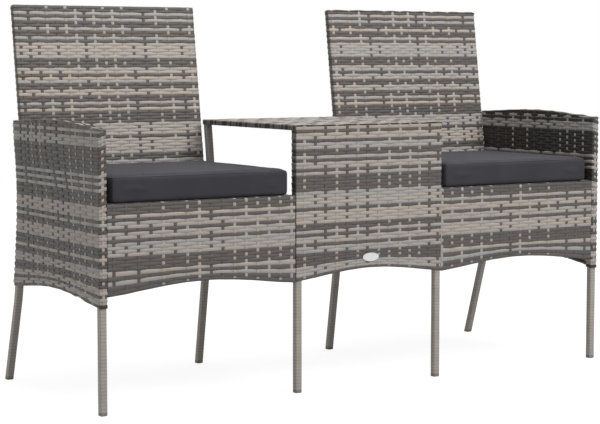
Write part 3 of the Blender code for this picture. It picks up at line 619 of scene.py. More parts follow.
def chain(points, along, out, keep_high):
    """Sorted (along, out) pairs, the outermost where several share a place."""
    pairs = {}
    for point in points:
        key = round(float(point[along]), 4)
        value = float(point[out])
        pairs[key] = (max if keep_high else min)(pairs.get(key, value), value)
    keys = sorted(pairs)
    return np.array(keys), np.array([pairs[key] for key in keys])


ARCH_RISE = 0.0186        # every arched hem is lower than this above its ends
arm_face = outline_points("right_arm_weave", 0, ARM_OUT_X)
CROWN = chain(arm_face[arm_face[:, 2] > 0.5745], 1, 2, True)
REAR = chain(arm_face[(arm_face[:, 1] > LEG_Y + 0.3905) & (arm_face[:, 2] < 0.582)], 2, 1, True)
ARCH = chain(arm_face[arm_face[:, 2] < ARM_LOW_Z + ARCH_RISE], 1, 2, False)
ARM_TOP_Z = float(CROWN[1][0])
print("crown from", round(ARM_TOP_Z, 4), "to", round(float(CROWN[1].max()), 4), " knots:",
      len(CROWN[0]), "crown,", len(REAR[0]), "rear,", len(ARCH[0]), "arch")

# %% [markdown]
# The rows of an arm are level, and towards the bottom they share the room above the arched hem.
# The crown is filled by one more dark strip, which lies only in its middle, and by the edge
# strips on top. `ARM_STAKE_Y` holds the places of the stakes at the top and at the bottom, in
# millimetres behind the front leg: they lean with the rear post.

# %% Rows and stakes of an arm
ARM_ROWS = stripes("D1 L1 D1 L3 D8 L1 D1 L1 D1 L1 D4 L4 D1 L1 D2 L4 D3 L1 D2 L3 D3 L2 D1 L2 D1",
                   dark=-0.28)
# B marks a dark stake painted nearly black above the seat: painted shadow of the gaps beside it.
ARM_STAKES = stripes("L4 D1 B1 D1 B1 L1 B1 L1 B1 D1 B1")
ARM_ROW_TOP = 0.5819
ARM_LEVEL_ROWS = 41
ARM_STAKE_Y = {
    -1: ([24, 62, 98, 128, 161, 192, 223, 250, 275, 296, 319, 339, 359, 379],
         [24, 56, 83, 111, 136, 162, 188, 215, 242, 267, 294, 320, 345, 371]),
    1: ([26, 55, 83, 109, 131, 155, 180, 207, 234, 261, 290, 318, 348, 376],
        [26, 55, 83, 109, 131, 155, 180, 207, 234, 261, 290, 318, 346, 370]),
}
ARM_LIP = 0.0171          # how far a strip below the seat goes in behind the post and the leg
ARM_CURL = 0.0010         # radius round the post and the leg
TOP_RADIUS = 0.0022       # radius over the top
INSIDE_RISE = 0.0045      # a row stands higher inside than outside
REAR_LIFT = 0.0017        # middle of the weave outside the rear of the solid
INNER_PANEL_Z = 0.4129    # the inside is woven down to here
EDGE_SINK = 0.0014        # middle of an edge strip below the crown
EDGE_ROW_Z = 0.5819       # highest place of the uppermost strip
FILLER_Z = 0.5887         # and of the short strip above it
FILLER_FROM = 0.5866      # height of the crown at which the short strip begins
HEM_RISE = 0.0012         # a stake turns round this much above the hem


def arm_rows(k, y):
    """Height and width share of row k of an arm at a distance y from front to rear."""
    return place_rows(k, ARM_ROW_TOP, PITCH_Z, ARM_LEVEL_ROWS, len(ARM_ROWS) - 1,
                      np.interp(y, *ARCH))


def stake_y(side, index, z):
    """Place of a stake from front to rear at a height z: it changes between 0.42 and 0.54 m."""
    high, low = ARM_STAKE_Y[side]
    share = ease((z - 0.42) / 0.12)
    return LEG_Y + (low[index] + (high[index] - low[index]) * share) / 1000


def stakes_y(side, z):
    return np.array([stake_y(side, i, z) for i in range(len(ARM_STAKES))])


def arm_rear(z):
    """Middle of the weave behind the rear post at a height z."""
    return float(np.interp(z, *REAR)) + REAR_LIFT


def painted_inner_shade(side, shade, inside):
    """Shade of a strip that is light or dark outside, with painted shade inside. The right arm is
    painted nearly black inside, the left one a little darker.
    """
    plain = max(shade, 0.0)
    within = plain - (0.82 - 0.64 * plain if side > 0 else 0.25)
    return shade + (within - shade) * inside


print(len(ARM_ROWS), "rows and", len(ARM_STAKES), "stakes on an arm")

# %% [markdown]
# A row that is woven all round crosses an even number of upright strips, those at its front and
# rear included, so it meets its own start in step. The next row starts one beat later and passes
# behind where this one passes in front. A lower row is open: it starts behind the front leg and
# ends behind the rear post.


# %% Strips laid across an arm
def goes_round(level):
    """True for a row that is woven all round, by its height outside."""
    return level + INSIDE_RISE > INNER_PANEL_Z + 0.004


def weave_arm(side, seed):
    weave = Weave(seed)
    out_x, in_x = side * (ARM_OUT_X - SINK), side * (ARM_IN_X + SINK)
    middle_x = (out_x + in_x) / 2
    front = FRONT_Y + SINK
    count = len(ARM_STAKES)
    for k in range(len(ARM_ROWS)):
        level = float(arm_rows(k, ARM_REAR_Y)[0])
        rear = arm_rear(level)
        closed = goes_round(level)
        corners = [(in_x, front), (out_x, front), (out_x, rear), (in_x, rear)]
        if not closed:
            corners = [(in_x, front + ARM_LIP)] + corners + [(in_x, rear - ARM_LIP)]
        ring = Profile(corners, ARM_CURL, (-side, 0), closed)
        ys = stakes_y(side, level)
        ys = ys[ys < rear - 0.008]
        begin = ring.find(0, middle_x, 0.0, 0.06) / ring.length
        turn = ring.find(1, rear - 0.010, begin, 0.6 if closed else 0.98) / ring.length
        marks = [begin * ring.length] + [ring.find(1, y, begin, turn) for y in ys]
        marks.append(ring.find(0, middle_x, turn, min(1.0, turn + 0.08)))
        beats = [-1.0] + [float(i) for i in range(len(ys))] + [float(count)]
        if closed:
            marks += [ring.find(1, y, marks[-1] / ring.length, 1.0) for y in ys[::-1]]
            beats += [float(2 * count - i) for i in reversed(range(len(ys)))]
            marks.append(marks[0] + ring.length)
            beats.append(float(2 * count + 1))
        marks, beats = np.array(marks), np.array(beats)
        at = ring.samples(marks[marks < ring.length])
        if closed:
            at = at[:-1]
        flat, way = ring.at(at)
        inside = ease(abs(flat[:, 0] - out_x) / abs(in_x - out_x))
        z, breadth = arm_rows(k, flat[:, 1])
        z = z + INSIDE_RISE * inside * closed
        lay = np.concatenate([way, np.zeros((len(at), 1))], 1)
        if k == 0:
            edge = np.interp(flat[:, 1], *CROWN) - EDGE_SINK
            lay[:, 2] = 1.4 * ease((EDGE_ROW_Z + 0.0015 - edge) / 0.003)
            lay = unit(lay)
            z = np.minimum(EDGE_ROW_Z, edge)
        # Painted shade on the inside of the arm, above the seat.
        shade = painted_inner_shade(side, ARM_ROWS[k], inside * (level > INNER_PANEL_Z))
        # Painted shadow: the last row is darkened nearly to black round each leg, where the hem
        # meets it.
        if k == len(ARM_ROWS) - 1:           # the last row ends dark round each leg
            to_leg = np.minimum(flat[:, 1] - front, rear - flat[:, 1])
            shade = shade - 0.9 * ease(1.6 - to_leg / 0.012)
        past_start = np.where(at < marks[0], at + ring.length, at) if closed else at
        beat = np.interp(past_start, marks, beats)
        play = 1 if closed else hold(at, marks, 0.008)
        weave.add(np.column_stack([flat, z]), lay, beat + k + 1, play, 1, shade, breadth, closed)
    weave_arm_filler(weave, side)
    weave_arm_top(weave, side, front)
    weave_arm_stakes(weave, side)
    return weave


print("rows woven all round:", sum(goes_round(float(arm_rows(k, ARM_REAR_Y)[0]))
                                   for k in range(len(ARM_ROWS))), "of", len(ARM_ROWS))

# %% [markdown]
# The top of an arm is narrow. One edge strip runs round it, and one more strip lies along its
# middle, comes down the front of the leg and the rear of the post, and holds the rows there.


# %% Strips along the top of an arm
TOP_STAKE_Z = 0.58        # the stakes' places at the top count from this height


def weave_arm_filler(weave, side):
    """The short dark strip in the middle of the crown, on the outside and on the inside."""
    y = np.arange(FRONT_Y, ARM_REAR_Y, 0.004)
    y = y[np.interp(y, *CROWN) > FILLER_FROM]
    crown = np.interp(y, *CROWN)
    ys = stakes_y(side, TOP_STAKE_Z)
    tuck = 0.0012 * ease(1 - np.minimum(y - y[0], y[-1] - y) / 0.010)
    for face, way in ((ARM_OUT_X - SINK, side), (ARM_IN_X + SINK, -side)):
        x = side * face - way * tuck
        lay = np.tile(np.array((float(way), 0.0, 0.0)), (len(y), 1))
        # Painted shade on the inside copy of the short strip.
        weave.add(np.column_stack([x, y, np.minimum(FILLER_Z, crown - 0.0036)]), lay,
                  np.interp(y, ys, np.arange(len(ys))), 1, 1,
                  painted_inner_shade(side, 0.0, float(way != side)), 1.0)


def weave_arm_top(weave, side, front):
    """The edge strip round the top, and the middle strip that also crosses front and rear."""
    middle = side * (ARM_OUT_X + ARM_IN_X) / 2
    rear = arm_rear(ARM_TOP_Z)
    half = (ARM_OUT_X - ARM_IN_X) / 2 - SINK - TOP_RADIUS
    ring = Profile([(middle - side * half, front + 0.002), (middle + side * half, front + 0.002),
                    (middle + side * half, rear - 0.002), (middle - side * half, rear - 0.002)],
                   TOP_RADIUS, (-side, 0), True)
    at = ring.samples([])[:-1]
    flat, _ = ring.at(at)
    z = np.interp(flat[:, 1], *CROWN) - SINK - 0.0003
    outside = side * (flat[:, 0] - middle) > 0
    ys = stakes_y(side, TOP_STAKE_Z)
    beat = np.interp(flat[:, 1], ys, np.arange(len(ys))) + 1
    lay = np.column_stack([np.where(outside, side, -side) * 0.35, np.zeros(len(at)),
                           np.ones(len(at))])
    play = 1 - ease((np.maximum(ys[0] - flat[:, 1], flat[:, 1] - ys[-1])) / 0.01)
    weave.add(np.column_stack([flat, z]), unit(lay), beat, play, 1, ARM_ROWS[0], 1.0, True)

    low = ARM_LOW_Z + 0.001
    levels = [(front, low), (front, ARM_TOP_Z - SINK)]
    top = [(y, float(np.interp(y, *CROWN)) - SINK + 0.0002)
           for y in np.linspace(front + 0.02, rear - 0.02, 16)]
    turn = [(rear, float(np.interp(rear, *CROWN)) - SINK)]
    down = [(arm_rear(z), z) for z in np.linspace(ARM_TOP_Z, low, 14)[1:]]
    line = Profile(levels + top + turn + down, 0.003, (-1, 0))
    rows = np.arange(1, len(ARM_ROWS))
    heights = arm_rows(rows, front)[0]
    heights = heights + INSIDE_RISE / 2 * (heights > 0.42)
    front_s = [line.find(1, z, 0.0, 0.35) for z in heights]
    top_s = [line.find(0, y, 0.3, 0.75) for y in ys]
    rear_s = [line.find(1, z, 0.72, 1.0) for z in heights]
    marks = np.array(front_s[::-1] + top_s + rear_s)
    beats = np.array([float(k - 1) for k in rows[::-1]] + [float(i) for i in range(len(ys))]
                     + [float(k + len(ys)) for k in rows])
    order = np.argsort(marks)
    marks, beats = marks[order], beats[order]
    at = line.samples(marks, STAKE_STEP)
    flat, way = line.at(at)
    points = np.column_stack([np.full(len(at), middle), flat])
    lay = np.column_stack([np.zeros(len(at)), way])
    on_top = way[:, 1] > 0.7
    weave.add(points, lay, np.interp(at, marks, beats), np.where(on_top, 0.9, 0.6), 1, 1.0,
              np.where(on_top, 1.1, 0.86))


print("stakes at the top of the right arm from y", round(float(stakes_y(1, TOP_STAKE_Z)[0]), 3),
      "to", round(float(stakes_y(1, TOP_STAKE_Z)[-1]), 3))

# %% [markdown]
# A stake is one line from hem to inner lip. Its crossings are gathered in the order in which it
# meets them: rows on the way up, edge strips, middle strip, and rows on the way down.


# %% Stakes of an arm
def weave_arm_stakes(weave, side):
    """Upright stakes: from the hem up the outside, over the top and down the inside."""
    out_x, in_x = side * (ARM_OUT_X - SINK), side * (ARM_IN_X + SINK)
    middle_x = (out_x + in_x) / 2
    rows = np.arange(1, len(ARM_ROWS))
    for i, shade in enumerate(ARM_STAKES):
        y_low, y_top = stake_y(side, i, ARM_LOW_Z), stake_y(side, i, TOP_STAKE_Z)
        crown = float(np.interp(y_top, *CROWN))
        hem = float(np.interp(y_low, *ARCH)) + HEM_RISE
        line = Profile([(out_x - side * 0.006, hem), (out_x, hem), (out_x, crown - SINK),
                        (in_x, crown - SINK), (in_x, INNER_PANEL_Z)], TOP_RADIUS, (0, -1))
        mid = line.find(0, middle_x, 0.5, 0.8) / line.length
        outer_z = arm_rows(rows, y_low)[0]
        up = [(line.find(1, z, 0.01, mid), float(k)) for k, z in zip(rows, outer_z)][::-1]
        filled = crown > FILLER_FROM + 0.001
        side_z = [EDGE_ROW_Z, FILLER_Z] if filled else [min(EDGE_ROW_Z, crown - EDGE_SINK)]
        step = -1.0 if filled else 0.0
        rise = [(line.find(1, z, 0.30, mid), -float(j)) for j, z in enumerate(side_z)]
        edge = rise[-1][1] + step
        over = [(line.find(0, x, 0.5, 1), edge - j) for j, x in
                enumerate((out_x - side * 0.0024, middle_x, in_x + side * 0.0024))]
        fall = [(line.find(1, z, mid, 1.0), edge - 2 + step - j)
                for j, z in enumerate(side_z[::-1])]
        down = [(line.find(1, z, mid, 1.0), fall[-1][1] - k)
                for k, z in zip(rows, outer_z + INSIDE_RISE) if z > INNER_PANEL_Z]
        marks, beats = np.array(up + rise + over + fall + down).T
        order = np.argsort(marks, kind="stable")
        marks, beats = marks[order], beats[order]
        at = line.samples(marks, STAKE_STEP)
        flat, way = line.at(at)
        climbing = at < over[0][0]
        y = np.where(climbing & (flat[:, 1] < 0.56), stake_y(side, i, flat[:, 1]), y_top)
        y = np.minimum(y, np.interp(flat[:, 1], *REAR) - SINK - 0.006)
        lay = np.column_stack([way[:, 0], np.zeros(len(at)), way[:, 1]])
        inside = ease((at - over[1][0]) / 0.006)
        # Painted shadow: a B stake turns nearly black from 0.36 m up.
        outside_grey_and_painted_shade = shade if shade >= 0 else shade * ease((flat[:, 1] - 0.36) / 0.04)
        # Painted shade on a stake where it runs down the inside, at half strength.
        inside_painted_shade = painted_inner_shade(side, max(shade, 0.0), inside * 0.5)
        weave.add(np.column_stack([flat[:, 0], y, flat[:, 1]]), lay,
                  np.interp(at, marks, beats) + i + 1, 1, -1,
                  np.where(inside > 0, inside_painted_shade, outside_grey_and_painted_shade), 1.0)


arms = {}
for side, word in SIDES:
    arms[side] = weave_arm(side, 20 + side)
    print(word, "arm :", len(arms[side].parts), "strips")

# %% [markdown]
# ## The seats
# The deck and the apron of a seat are one cloth: stakes come from the rear of the deck, bend over
# its front edge and go down to the hem, where they turn round a rod. Two separate panels would
# show a seam at the edge, so both are woven in one go. Rows count from the edge: down the apron
# from 0 on, and back over the deck below 0.

# %% Rows and stakes of a seat
APRON_ROWS = stripes("D4 L1 D1 L2 D1 L2 D1 L4 D4 L1 D1 L1 D2")
DECK_ROWS = stripes("D1 L2 D1 L1 D3 L2 D1 L4 D2 L1 D1 L1 D4 L3 D1 L2 D2 L1 D1 L5 D3 L2 D1 L1 "
                    "D2 L3 D1 L2 D4 L2")
APRON_STAKES = stripes("D4 L1 D1 L2 D2 L6")
APRON_PITCH = 0.0071
APRON_FIRST_LIGHT = 4     # number of the first light strip, the fifth from the edge
APRON_LIGHT_Z = 0.4034    # and its height
APRON_LEVEL_ROWS = 19     # strips above this one lie level
APRON_RETURN_ROW = 3      # from here down the strips turn back at both ends
APRON_RETURN = 0.008
APRON_STAKE_START = {-1: 0.014, 1: 0.0195}   # from the arm's end to the first stake
APRON_STAKE_GAP = {-1: 0.0281, 1: 0.0283}
END_REACH = 0.0001        # a strip ends this much past the plain panel
EDGE_CURL = 0.003         # radius over the front edge of the deck
END_CURL = 0.0018         # radius where a strip turns back
HEM_TURN = 0.006          # a stake goes in this far round the rod in the hem
PANEL_START = 0.0035      # no row lies closer to the rear end of the stakes


def panel_arch(node):
    """The arched hem of a front panel, as heights over x."""
    face = outline_points(node, 1, FRONT_Y)
    return chain(face[face[:, 2] < APRON_LOW_Z + ARCH_RISE], 0, 2, False)


SEAT_ARCH = panel_arch("right_apron_weave")
TABLE_ARCH = panel_arch("table_front_weave")
print(len(DECK_ROWS), "rows on a deck,", len(APRON_ROWS), "on an apron,", len(APRON_STAKES),
      "stakes")

# %% [markdown]
# Stakes of a seat and of the table run alike, so `weave_stake` serves both. A row on the deck or
# on the upper apron follows the line of the stakes, and a lower row follows the arched hem.


# %% Weave the seats
def apron_rows(k, x):
    """Height and width share of apron row k, from the first light one down, at a place x."""
    first = APRON_FIRST_LIGHT
    return place_rows(k - first, APRON_LIGHT_Z, APRON_PITCH, APRON_LEVEL_ROWS - first,
                      len(APRON_ROWS) - 1 - first, np.interp(abs(x), *SEAT_ARCH))


def sideways(way):
    """Ways out that were found in a level plane, as arrows in space."""
    return np.column_stack([way, np.zeros(len(way))])


def lengthways(way):
    """Ways out that were found in an upright plane from front to rear, as arrows in space."""
    return np.column_stack([np.zeros(len(way)), way])


def weave_stake(weave, x, i, line, marks, beats, shade):
    """Adds stake number i, which runs along a line from front to rear at a place x."""
    at = line.samples(marks, STAKE_STEP)
    flat, way = line.at(at)
    weave.add(np.column_stack([np.full(len(at), x), flat]), lengthways(way),
              np.interp(at, marks, beats) + i, 1, -1, shade, 1.0)


def weave_seat(side, seed):
    weave = Weave(seed)
    far_x = SEAT_OUT_X + END_REACH
    ends = sorted((side * (SEAT_IN_X + END_REACH), side * far_x))
    front, top = FRONT_Y + SINK, DECK_Z - SINK
    stakes = side * (far_x - APRON_STAKE_START[side]
                     - APRON_STAKE_GAP[side] * np.arange(len(APRON_STAKES)))
    order = np.argsort(stakes)

    def down_line(hem):
        hem = hem + HEM_RISE
        return Profile([(DECK_REAR_Y - 0.0005, top), (front, top), (front, hem),
                        (front + HEM_TURN, hem)], EDGE_CURL, (0, 1))

    line = down_line(APRON_LOW_Z)
    fifth = line.find(1, APRON_LIGHT_Z, 0.3, 0.98)
    straight = Profile([(ends[0], front), (ends[1], front)], 0.001, (0, -1))
    turned = Profile([(ends[0], front + APRON_RETURN), (ends[0], front), (ends[1], front),
                      (ends[1], front + APRON_RETURN)], END_CURL, (-1, 0))
    uppers = []
    for k in range(-len(DECK_ROWS), len(APRON_ROWS)):
        shade = APRON_ROWS[k] if k >= 0 else DECK_ROWS[-k - 1]
        s = fifth + APRON_PITCH * (k - APRON_FIRST_LIGHT)
        if s < PANEL_START:
            continue
        section = turned if k >= APRON_RETURN_ROW else straight
        marks = np.array([section.find(0, x, 0.015, 0.985) for x in stakes[order]])
        at = section.samples(marks)
        flat, way = section.at(at)
        lay = sideways(way)
        if k < APRON_FIRST_LIGHT:
            uppers.append((s, float(k)))
            (y, level), up = line.at(s)
            depth = flat[:, 1] if k >= APRON_RETURN_ROW else np.full(len(at), y)
            points = np.column_stack([flat[:, 0], depth, np.full(len(at), level)])
            if k < APRON_RETURN_ROW:
                lay = np.tile(np.array((0.0, up[0], up[1])), (len(at), 1))
            breadth = 1.0
        else:
            z, breadth = apron_rows(k, flat[:, 0])
            points = np.column_stack([flat, z])
        beat = np.interp(at, marks, order.astype(float)) + k + 1
        weave.add(points, lay, beat, hold(at, marks), 1, shade, breadth)
    lowers = np.arange(APRON_FIRST_LIGHT, len(APRON_ROWS))
    for i, x in enumerate(stakes):
        down = down_line(float(np.interp(abs(x), *SEAT_ARCH)))
        heights = apron_rows(lowers, x)[0]
        marks = np.array([s for s, _ in uppers] + [fifth + APRON_LIGHT_Z - z for z in heights])
        beats = np.array([k for _, k in uppers] + list(lowers.astype(float)))
        weave_stake(weave, x, i + 1, down, marks, beats, APRON_STAKES[i])
    return weave


seats = {}
for side, word in SIDES:
    seats[side] = weave_seat(side, 30 + side)
    print(word, "seat :", len(seats[side].parts), "strips")

# %% [markdown]
# ## The table
# The same stakes run from the rear edge of the slab over the top, bend over its front edge and
# go down the front. Strips laid across turn down round the sides of the slab, and on the front
# they turn back round the legs.

# %% Rows and stakes of the table
TABLE_ROWS = stripes("D1 L2 D1 L2 D2 L1 D1 L2 D1 L1 D5 L5 D1 L4 D2 L1 D1 L2 D1 L2 D4 L3 D1")
TOP_ROWS = stripes("L2 D1 L3 D2 L1 D1 L4 D1 L2 D3 L2 D1 L1 D2 L5 D1 L2 D2 L1 D1 L3 D1 L2 D3 "
                   "L4 D1 L1 D2 L3 D1 L2")
TABLE_STAKES = stripes("L1 D2 L1 D1 L1 D1 L5 D2")
TABLE_STAKE_X = [-174, -146, -120, -91, -64, -36, -10, 20, 48, 77, 104, 130, 158, 182]   # mm
TABLE_STAKE_SHIFT = 0.0021
TABLE_FIRST_Z = 0.5652    # middle of the first dark row below the slab's edge
TABLE_LEVEL_ROWS = 37     # strips above this one lie level
TABLE_PITCH = 0.00700
TABLE_RETURN = 0.0171     # how far a strip goes back round a leg
TABLE_CURL = 0.0025       # radius over the edges of the slab
print(len(TOP_ROWS), "rows on top,", len(TABLE_ROWS), "in front,", len(TABLE_STAKES), "stakes")

# %% [markdown]
# A row lies on one of three lines: round the slab, round the legs, or straight across where the
# cloth bends over the slab's edges. Its two ends are narrower where they turn away, because on the
# real table they are pulled tight round the tube, and they are darker there: painted shade on the
# turned sides.


# %% Weave the table
def table_rows(k, x):
    """Height and width share of front row k at a distance x from the middle."""
    return place_rows(k, TABLE_FIRST_Z, TABLE_PITCH, TABLE_LEVEL_ROWS, len(TABLE_ROWS) - 1,
                      np.interp(x, *TABLE_ARCH))


def weave_table(seed):
    weave = Weave(seed)
    front, top = FRONT_Y + SINK, TABLE_Z - SINK
    rear = TABLE_REAR_Y - SINK
    wide = TABLE_X - SINK

    def down_line(hem):
        hem = hem + HEM_RISE
        return Profile([(rear, SLAB_LOW_Z), (rear, top), (front, top), (front, hem),
                        (front + HEM_TURN, hem)], TABLE_CURL, (1, 0))

    line = down_line(APRON_LOW_Z)
    first = line.find(1, TABLE_FIRST_Z, 0.45, 1.0)
    stakes = np.array(TABLE_STAKE_X) / 1000 + TABLE_STAKE_SHIFT
    slab = Profile([(-wide, SLAB_LOW_Z), (-wide, top), (wide, top), (wide, SLAB_LOW_Z)],
                   TABLE_CURL, (-1, 0))
    around = Profile([(-wide, front + TABLE_RETURN), (-wide, front), (wide, front),
                      (wide, front + TABLE_RETURN)], END_CURL, (-1, 0))
    uppers = []
    for k in range(-len(TOP_ROWS), len(TABLE_ROWS)):
        shade = TABLE_ROWS[k] if k >= 0 else TOP_ROWS[-k - 1]
        s = first + PITCH_Z * k
        if s < PANEL_START:
            continue
        (y, level), way = line.at(s)
        section = slab if way[1] > 0.7 else around
        marks = np.array([section.find(0, x, 0.02, 0.98) for x in stakes])
        at = section.samples(marks)
        flat, turned = section.at(at)
        wrap = np.minimum(ease((abs(turned[:, 0]) - 0.1) / 0.6), 1)
        # Painted shade: the ends are darkened where they turn down round the slab and back round
        # the legs.
        shades = shade - (0.55 + 0.15 * shade) * wrap
        breadth = 1 - 0.08 * wrap
        if k >= 0:
            z, own = table_rows(k, flat[:, 0])
            breadth = breadth * own
            points = np.column_stack([flat, z])
            lay = sideways(turned)
        elif way[1] > 0.7:
            points = np.column_stack([flat[:, 0], np.full(len(at), y), flat[:, 1]])
            lay = np.column_stack([turned[:, 0], np.zeros(len(at)), turned[:, 1]])
        else:
            even = np.linspace(-wide, wide, int(2 * wide / STEP))
            at, marks = np.unique(np.concatenate([even, stakes])), stakes
            points = np.column_stack([at, np.full(len(at), y), np.full(len(at), level)])
            lay = np.tile(np.array((0.0, way[0], way[1])), (len(at), 1))
            shades, breadth = shade, 1.0
        if k < 0:
            uppers.append((s, float(k)))
        beat = np.interp(at, marks, np.arange(len(stakes)))
        weave.add(points, lay, beat + k, hold(at, marks), 1, shades, breadth)
    lowers = np.arange(len(TABLE_ROWS))
    for i, x in enumerate(stakes):
        down = down_line(float(np.interp(x, *TABLE_ARCH)))
        heights = table_rows(lowers, x)[0]
        marks = np.array([s for s, _ in uppers] + [first + TABLE_FIRST_Z - z for z in heights])
        beats = np.array([k for _, k in uppers] + list(lowers.astype(float)))
        weave_stake(weave, x, i, down, marks, beats, TABLE_STAKES[i])
    return weave


table = weave_table(41)
print("table :", len(table.parts), "strips")

# %% [markdown]
# ## Finishes
# A shader takes colours in linear light, which are hard to judge by eye. So a colour is typed as
# it is seen, from 0 to 255, and turned into its linear value.


# %% Colours
def seen(red, green, blue):
    """A colour as the eye reads it, turned into linear light."""
    shares = (red / 255, green / 255, blue / 255)
    return (*(c / 12.92 if c <= 0.04045 else ((c + 0.055) / 1.055) ** 2.4 for c in shares), 1.0)


print("a middle grey of 128 is", round(seen(128, 128, 128)[0], 3), "in linear light")

# %% [markdown]
# Nodes could be placed and linked by hand in the shader editor. In a script each call of this
# class adds one node and gives back its output, so a material reads like a sum.


# %% Node helpers
class Graph:
    """A node tree with short calls for the nodes that these finishes use."""

    def __init__(self, tree):
        self.tree, self.nodes, self.links = tree, tree.nodes, tree.links

    def put(self, kind, **settings):
        node = self.nodes.new(kind)
        for label, value in settings.items():
            setattr(node, label, value)
        return node

    def feed(self, socket, value):
        if isinstance(value, bpy.types.NodeSocket):
            self.links.new(value, socket)
        elif value is not None:
            socket.default_value = value

    def math(self, operation, a, b=None, clamp=False):
        node = self.put("ShaderNodeMath", operation=operation, use_clamp=clamp)
        self.feed(node.inputs[0], a)
        self.feed(node.inputs[1], b)
        return node.outputs[0]

    def mix(self, factor, a, b, blend="MIX"):
        node = self.put("ShaderNodeMix", data_type="RGBA", blend_type=blend)
        self.feed(node.inputs["Factor"], factor)
        self.feed(node.inputs[6], a)
        self.feed(node.inputs[7], b)
        return node.outputs[2]

    def spread(self, value, low, high, to_low=0.0, to_high=1.0):
        node = self.put("ShaderNodeMapRange")
        for index, item in enumerate((value, low, high, to_low, to_high)):
            self.feed(node.inputs[index], item)
        return node.outputs[0]

    def noise(self, vector, scale, detail=2.0, roughness=0.5):
        node = self.put("ShaderNodeTexNoise")
        self.feed(node.inputs["Vector"], vector)
        self.feed(node.inputs["Scale"], scale)
        self.feed(node.inputs["Detail"], detail)
        self.feed(node.inputs["Roughness"], roughness)
        return node.outputs["Fac"]

    def vector(self, x, y, z):
        node = self.put("ShaderNodeCombineXYZ")
        for index, value in enumerate((x, y, z)):
            self.feed(node.inputs[index], value)
        return node.outputs[0]

    def bump(self, height, strength, distance):
        node = self.put("ShaderNodeBump")
        self.feed(node.inputs["Strength"], strength)
        self.feed(node.inputs["Distance"], distance)
        self.feed(node.inputs["Height"], height)
        return node.outputs[0]

    def place(self):
        """Object coordinates, which stay with the piece."""
        return self.put("ShaderNodeTexCoord").outputs["Object"]

    def axes(self, vector):
        """The three coordinates of a vector, each as a value."""
        node = self.put("ShaderNodeSeparateXYZ")
        self.feed(node.inputs[0], vector)
        return node.outputs


print("node helpers:", [name for name in vars(Graph) if name[0] != "_"])

# %% [markdown]
# An effect that more than one finish uses is a node group: built once, placed in each material
# with its own values. Groups put out masks and heights, and the shaders stay in the materials.
#
# `fine_grain` is the slight unevenness of a powder coat or a moulded face, on Object coordinates
# in metres. It gives a height and a soft blotch mask. A painted image could show the same, but it
# would need a UV map on every tube.


# %% Group: fine grain
def new_group(name, inputs, outputs):
    """A new shader group of values: its graph, its input sockets and its output sockets.

    An input without a default is a vector.
    """
    tree = bpy.data.node_groups.new(name, "ShaderNodeTree")
    for label, default in inputs.items():
        kind = "NodeSocketVector" if default is None else "NodeSocketFloat"
        socket = tree.interface.new_socket(label, in_out="INPUT", socket_type=kind)
        if default is not None:
            socket.default_value = default
    for label in outputs:
        tree.interface.new_socket(label, in_out="OUTPUT", socket_type="NodeSocketFloat")
    graph = Graph(tree)
    return graph, graph.put("NodeGroupInput").outputs, graph.put("NodeGroupOutput").inputs


def use_group(graph, group, **values):
    node = graph.put("ShaderNodeGroup", node_tree=group)
    for label, value in values.items():
        graph.feed(node.inputs[label.replace("_", " ")], value)
    return node.outputs


graph, given, result = new_group(
    "fine_grain", {"Vector": None, "Grain size": 0.0006, "Blotch size": 0.03}, ("Height", "Blotch"))
grain_scale = graph.math("DIVIDE", 1.0, given["Grain size"])
blotch_scale = graph.math("DIVIDE", 1.0, given["Blotch size"])
graph.feed(result["Height"], graph.noise(given["Vector"], grain_scale, 3.0, 0.6))
graph.feed(result["Blotch"], graph.noise(given["Vector"], blotch_scale, 2.0, 0.5))
FINE_GRAIN = graph.tree
print("group", FINE_GRAIN.name, ":", len(FINE_GRAIN.nodes), "nodes")

# %% [markdown]
# `strip_grooves` is the drawn surface of a flat resin strip. Fine grooves run along it, with
# streaks between them, and its `Edge` mask marks the two edges, which get painted shade. The
# grooves could be modelled, but they are less than a tenth of a millimetre deep, so bump is enough
# for them.

# %% Group: strip grooves
graph, given, result = new_group(
    "strip_grooves", {"Across": 0.0, "Along": 0.0, "Tone": 0.0, "Grooves": 7.0},
    ("Height", "Streak", "Edge"))
turns = graph.math("MULTIPLY", graph.math("MULTIPLY", given["Across"], given["Grooves"]), math.pi)
groove = graph.spread(graph.math("COSINE", turns), -1.0, 1.0, 0.0, 1.0)
lane = graph.vector(graph.math("MULTIPLY", given["Across"], 3.0),
                    graph.math("MULTIPLY", given["Along"], 9.0),
                    graph.math("MULTIPLY", given["Tone"], 23.0))
streak = graph.noise(lane, 1.6, 3.0, 0.6)
graph.feed(result["Height"], graph.math("ADD", graph.math("MULTIPLY", groove, 0.7), streak))
graph.feed(result["Streak"], streak)
graph.feed(result["Edge"], graph.math("POWER", graph.math("ABSOLUTE", given["Across"]), 5.0))
STRIP_GROOVES = graph.tree
print("group", STRIP_GROOVES.name, ":", len(STRIP_GROOVES.nodes), "nodes")

# %% [markdown]
# ### Woven resin
# Two greys are woven together. `shade` picks the grey, and below 0 it mixes towards a near black,
# which is painted shade except on the arms' dark rows. `tone` makes each strip slightly lighter,
# darker, warmer or cooler than the next, and streaks run along it. A material for each grey
# would do too, but one material that reads each strip's own values keeps a panel in one piece.

# %% Woven resin
LIGHT_STRIP = seen(188, 181, 174)
DARK_STRIP = seen(97, 92, 88)
DEEP_GREY_AND_PAINTED_SHADE = seen(34, 29, 26)
COOL_CAST = seen(240, 246, 252)
WARM_CAST = seen(255, 246, 238)
PAINTED_EDGE_SHADE = seen(46, 42, 39)


def new_material(name, roughness, metallic=0.0, specular=0.5):
    """A material with one Principled BSDF: returns the material, its graph and its shader."""
    material = bpy.data.materials.new(name)
    material.use_nodes = True
    graph = Graph(material.node_tree)
    shader = material.node_tree.nodes["Principled BSDF"]
    shader.inputs["Roughness"].default_value = roughness
    shader.inputs["Metallic"].default_value = metallic
    shader.inputs["Specular IOR Level"].default_value = specular
    return material, graph, shader


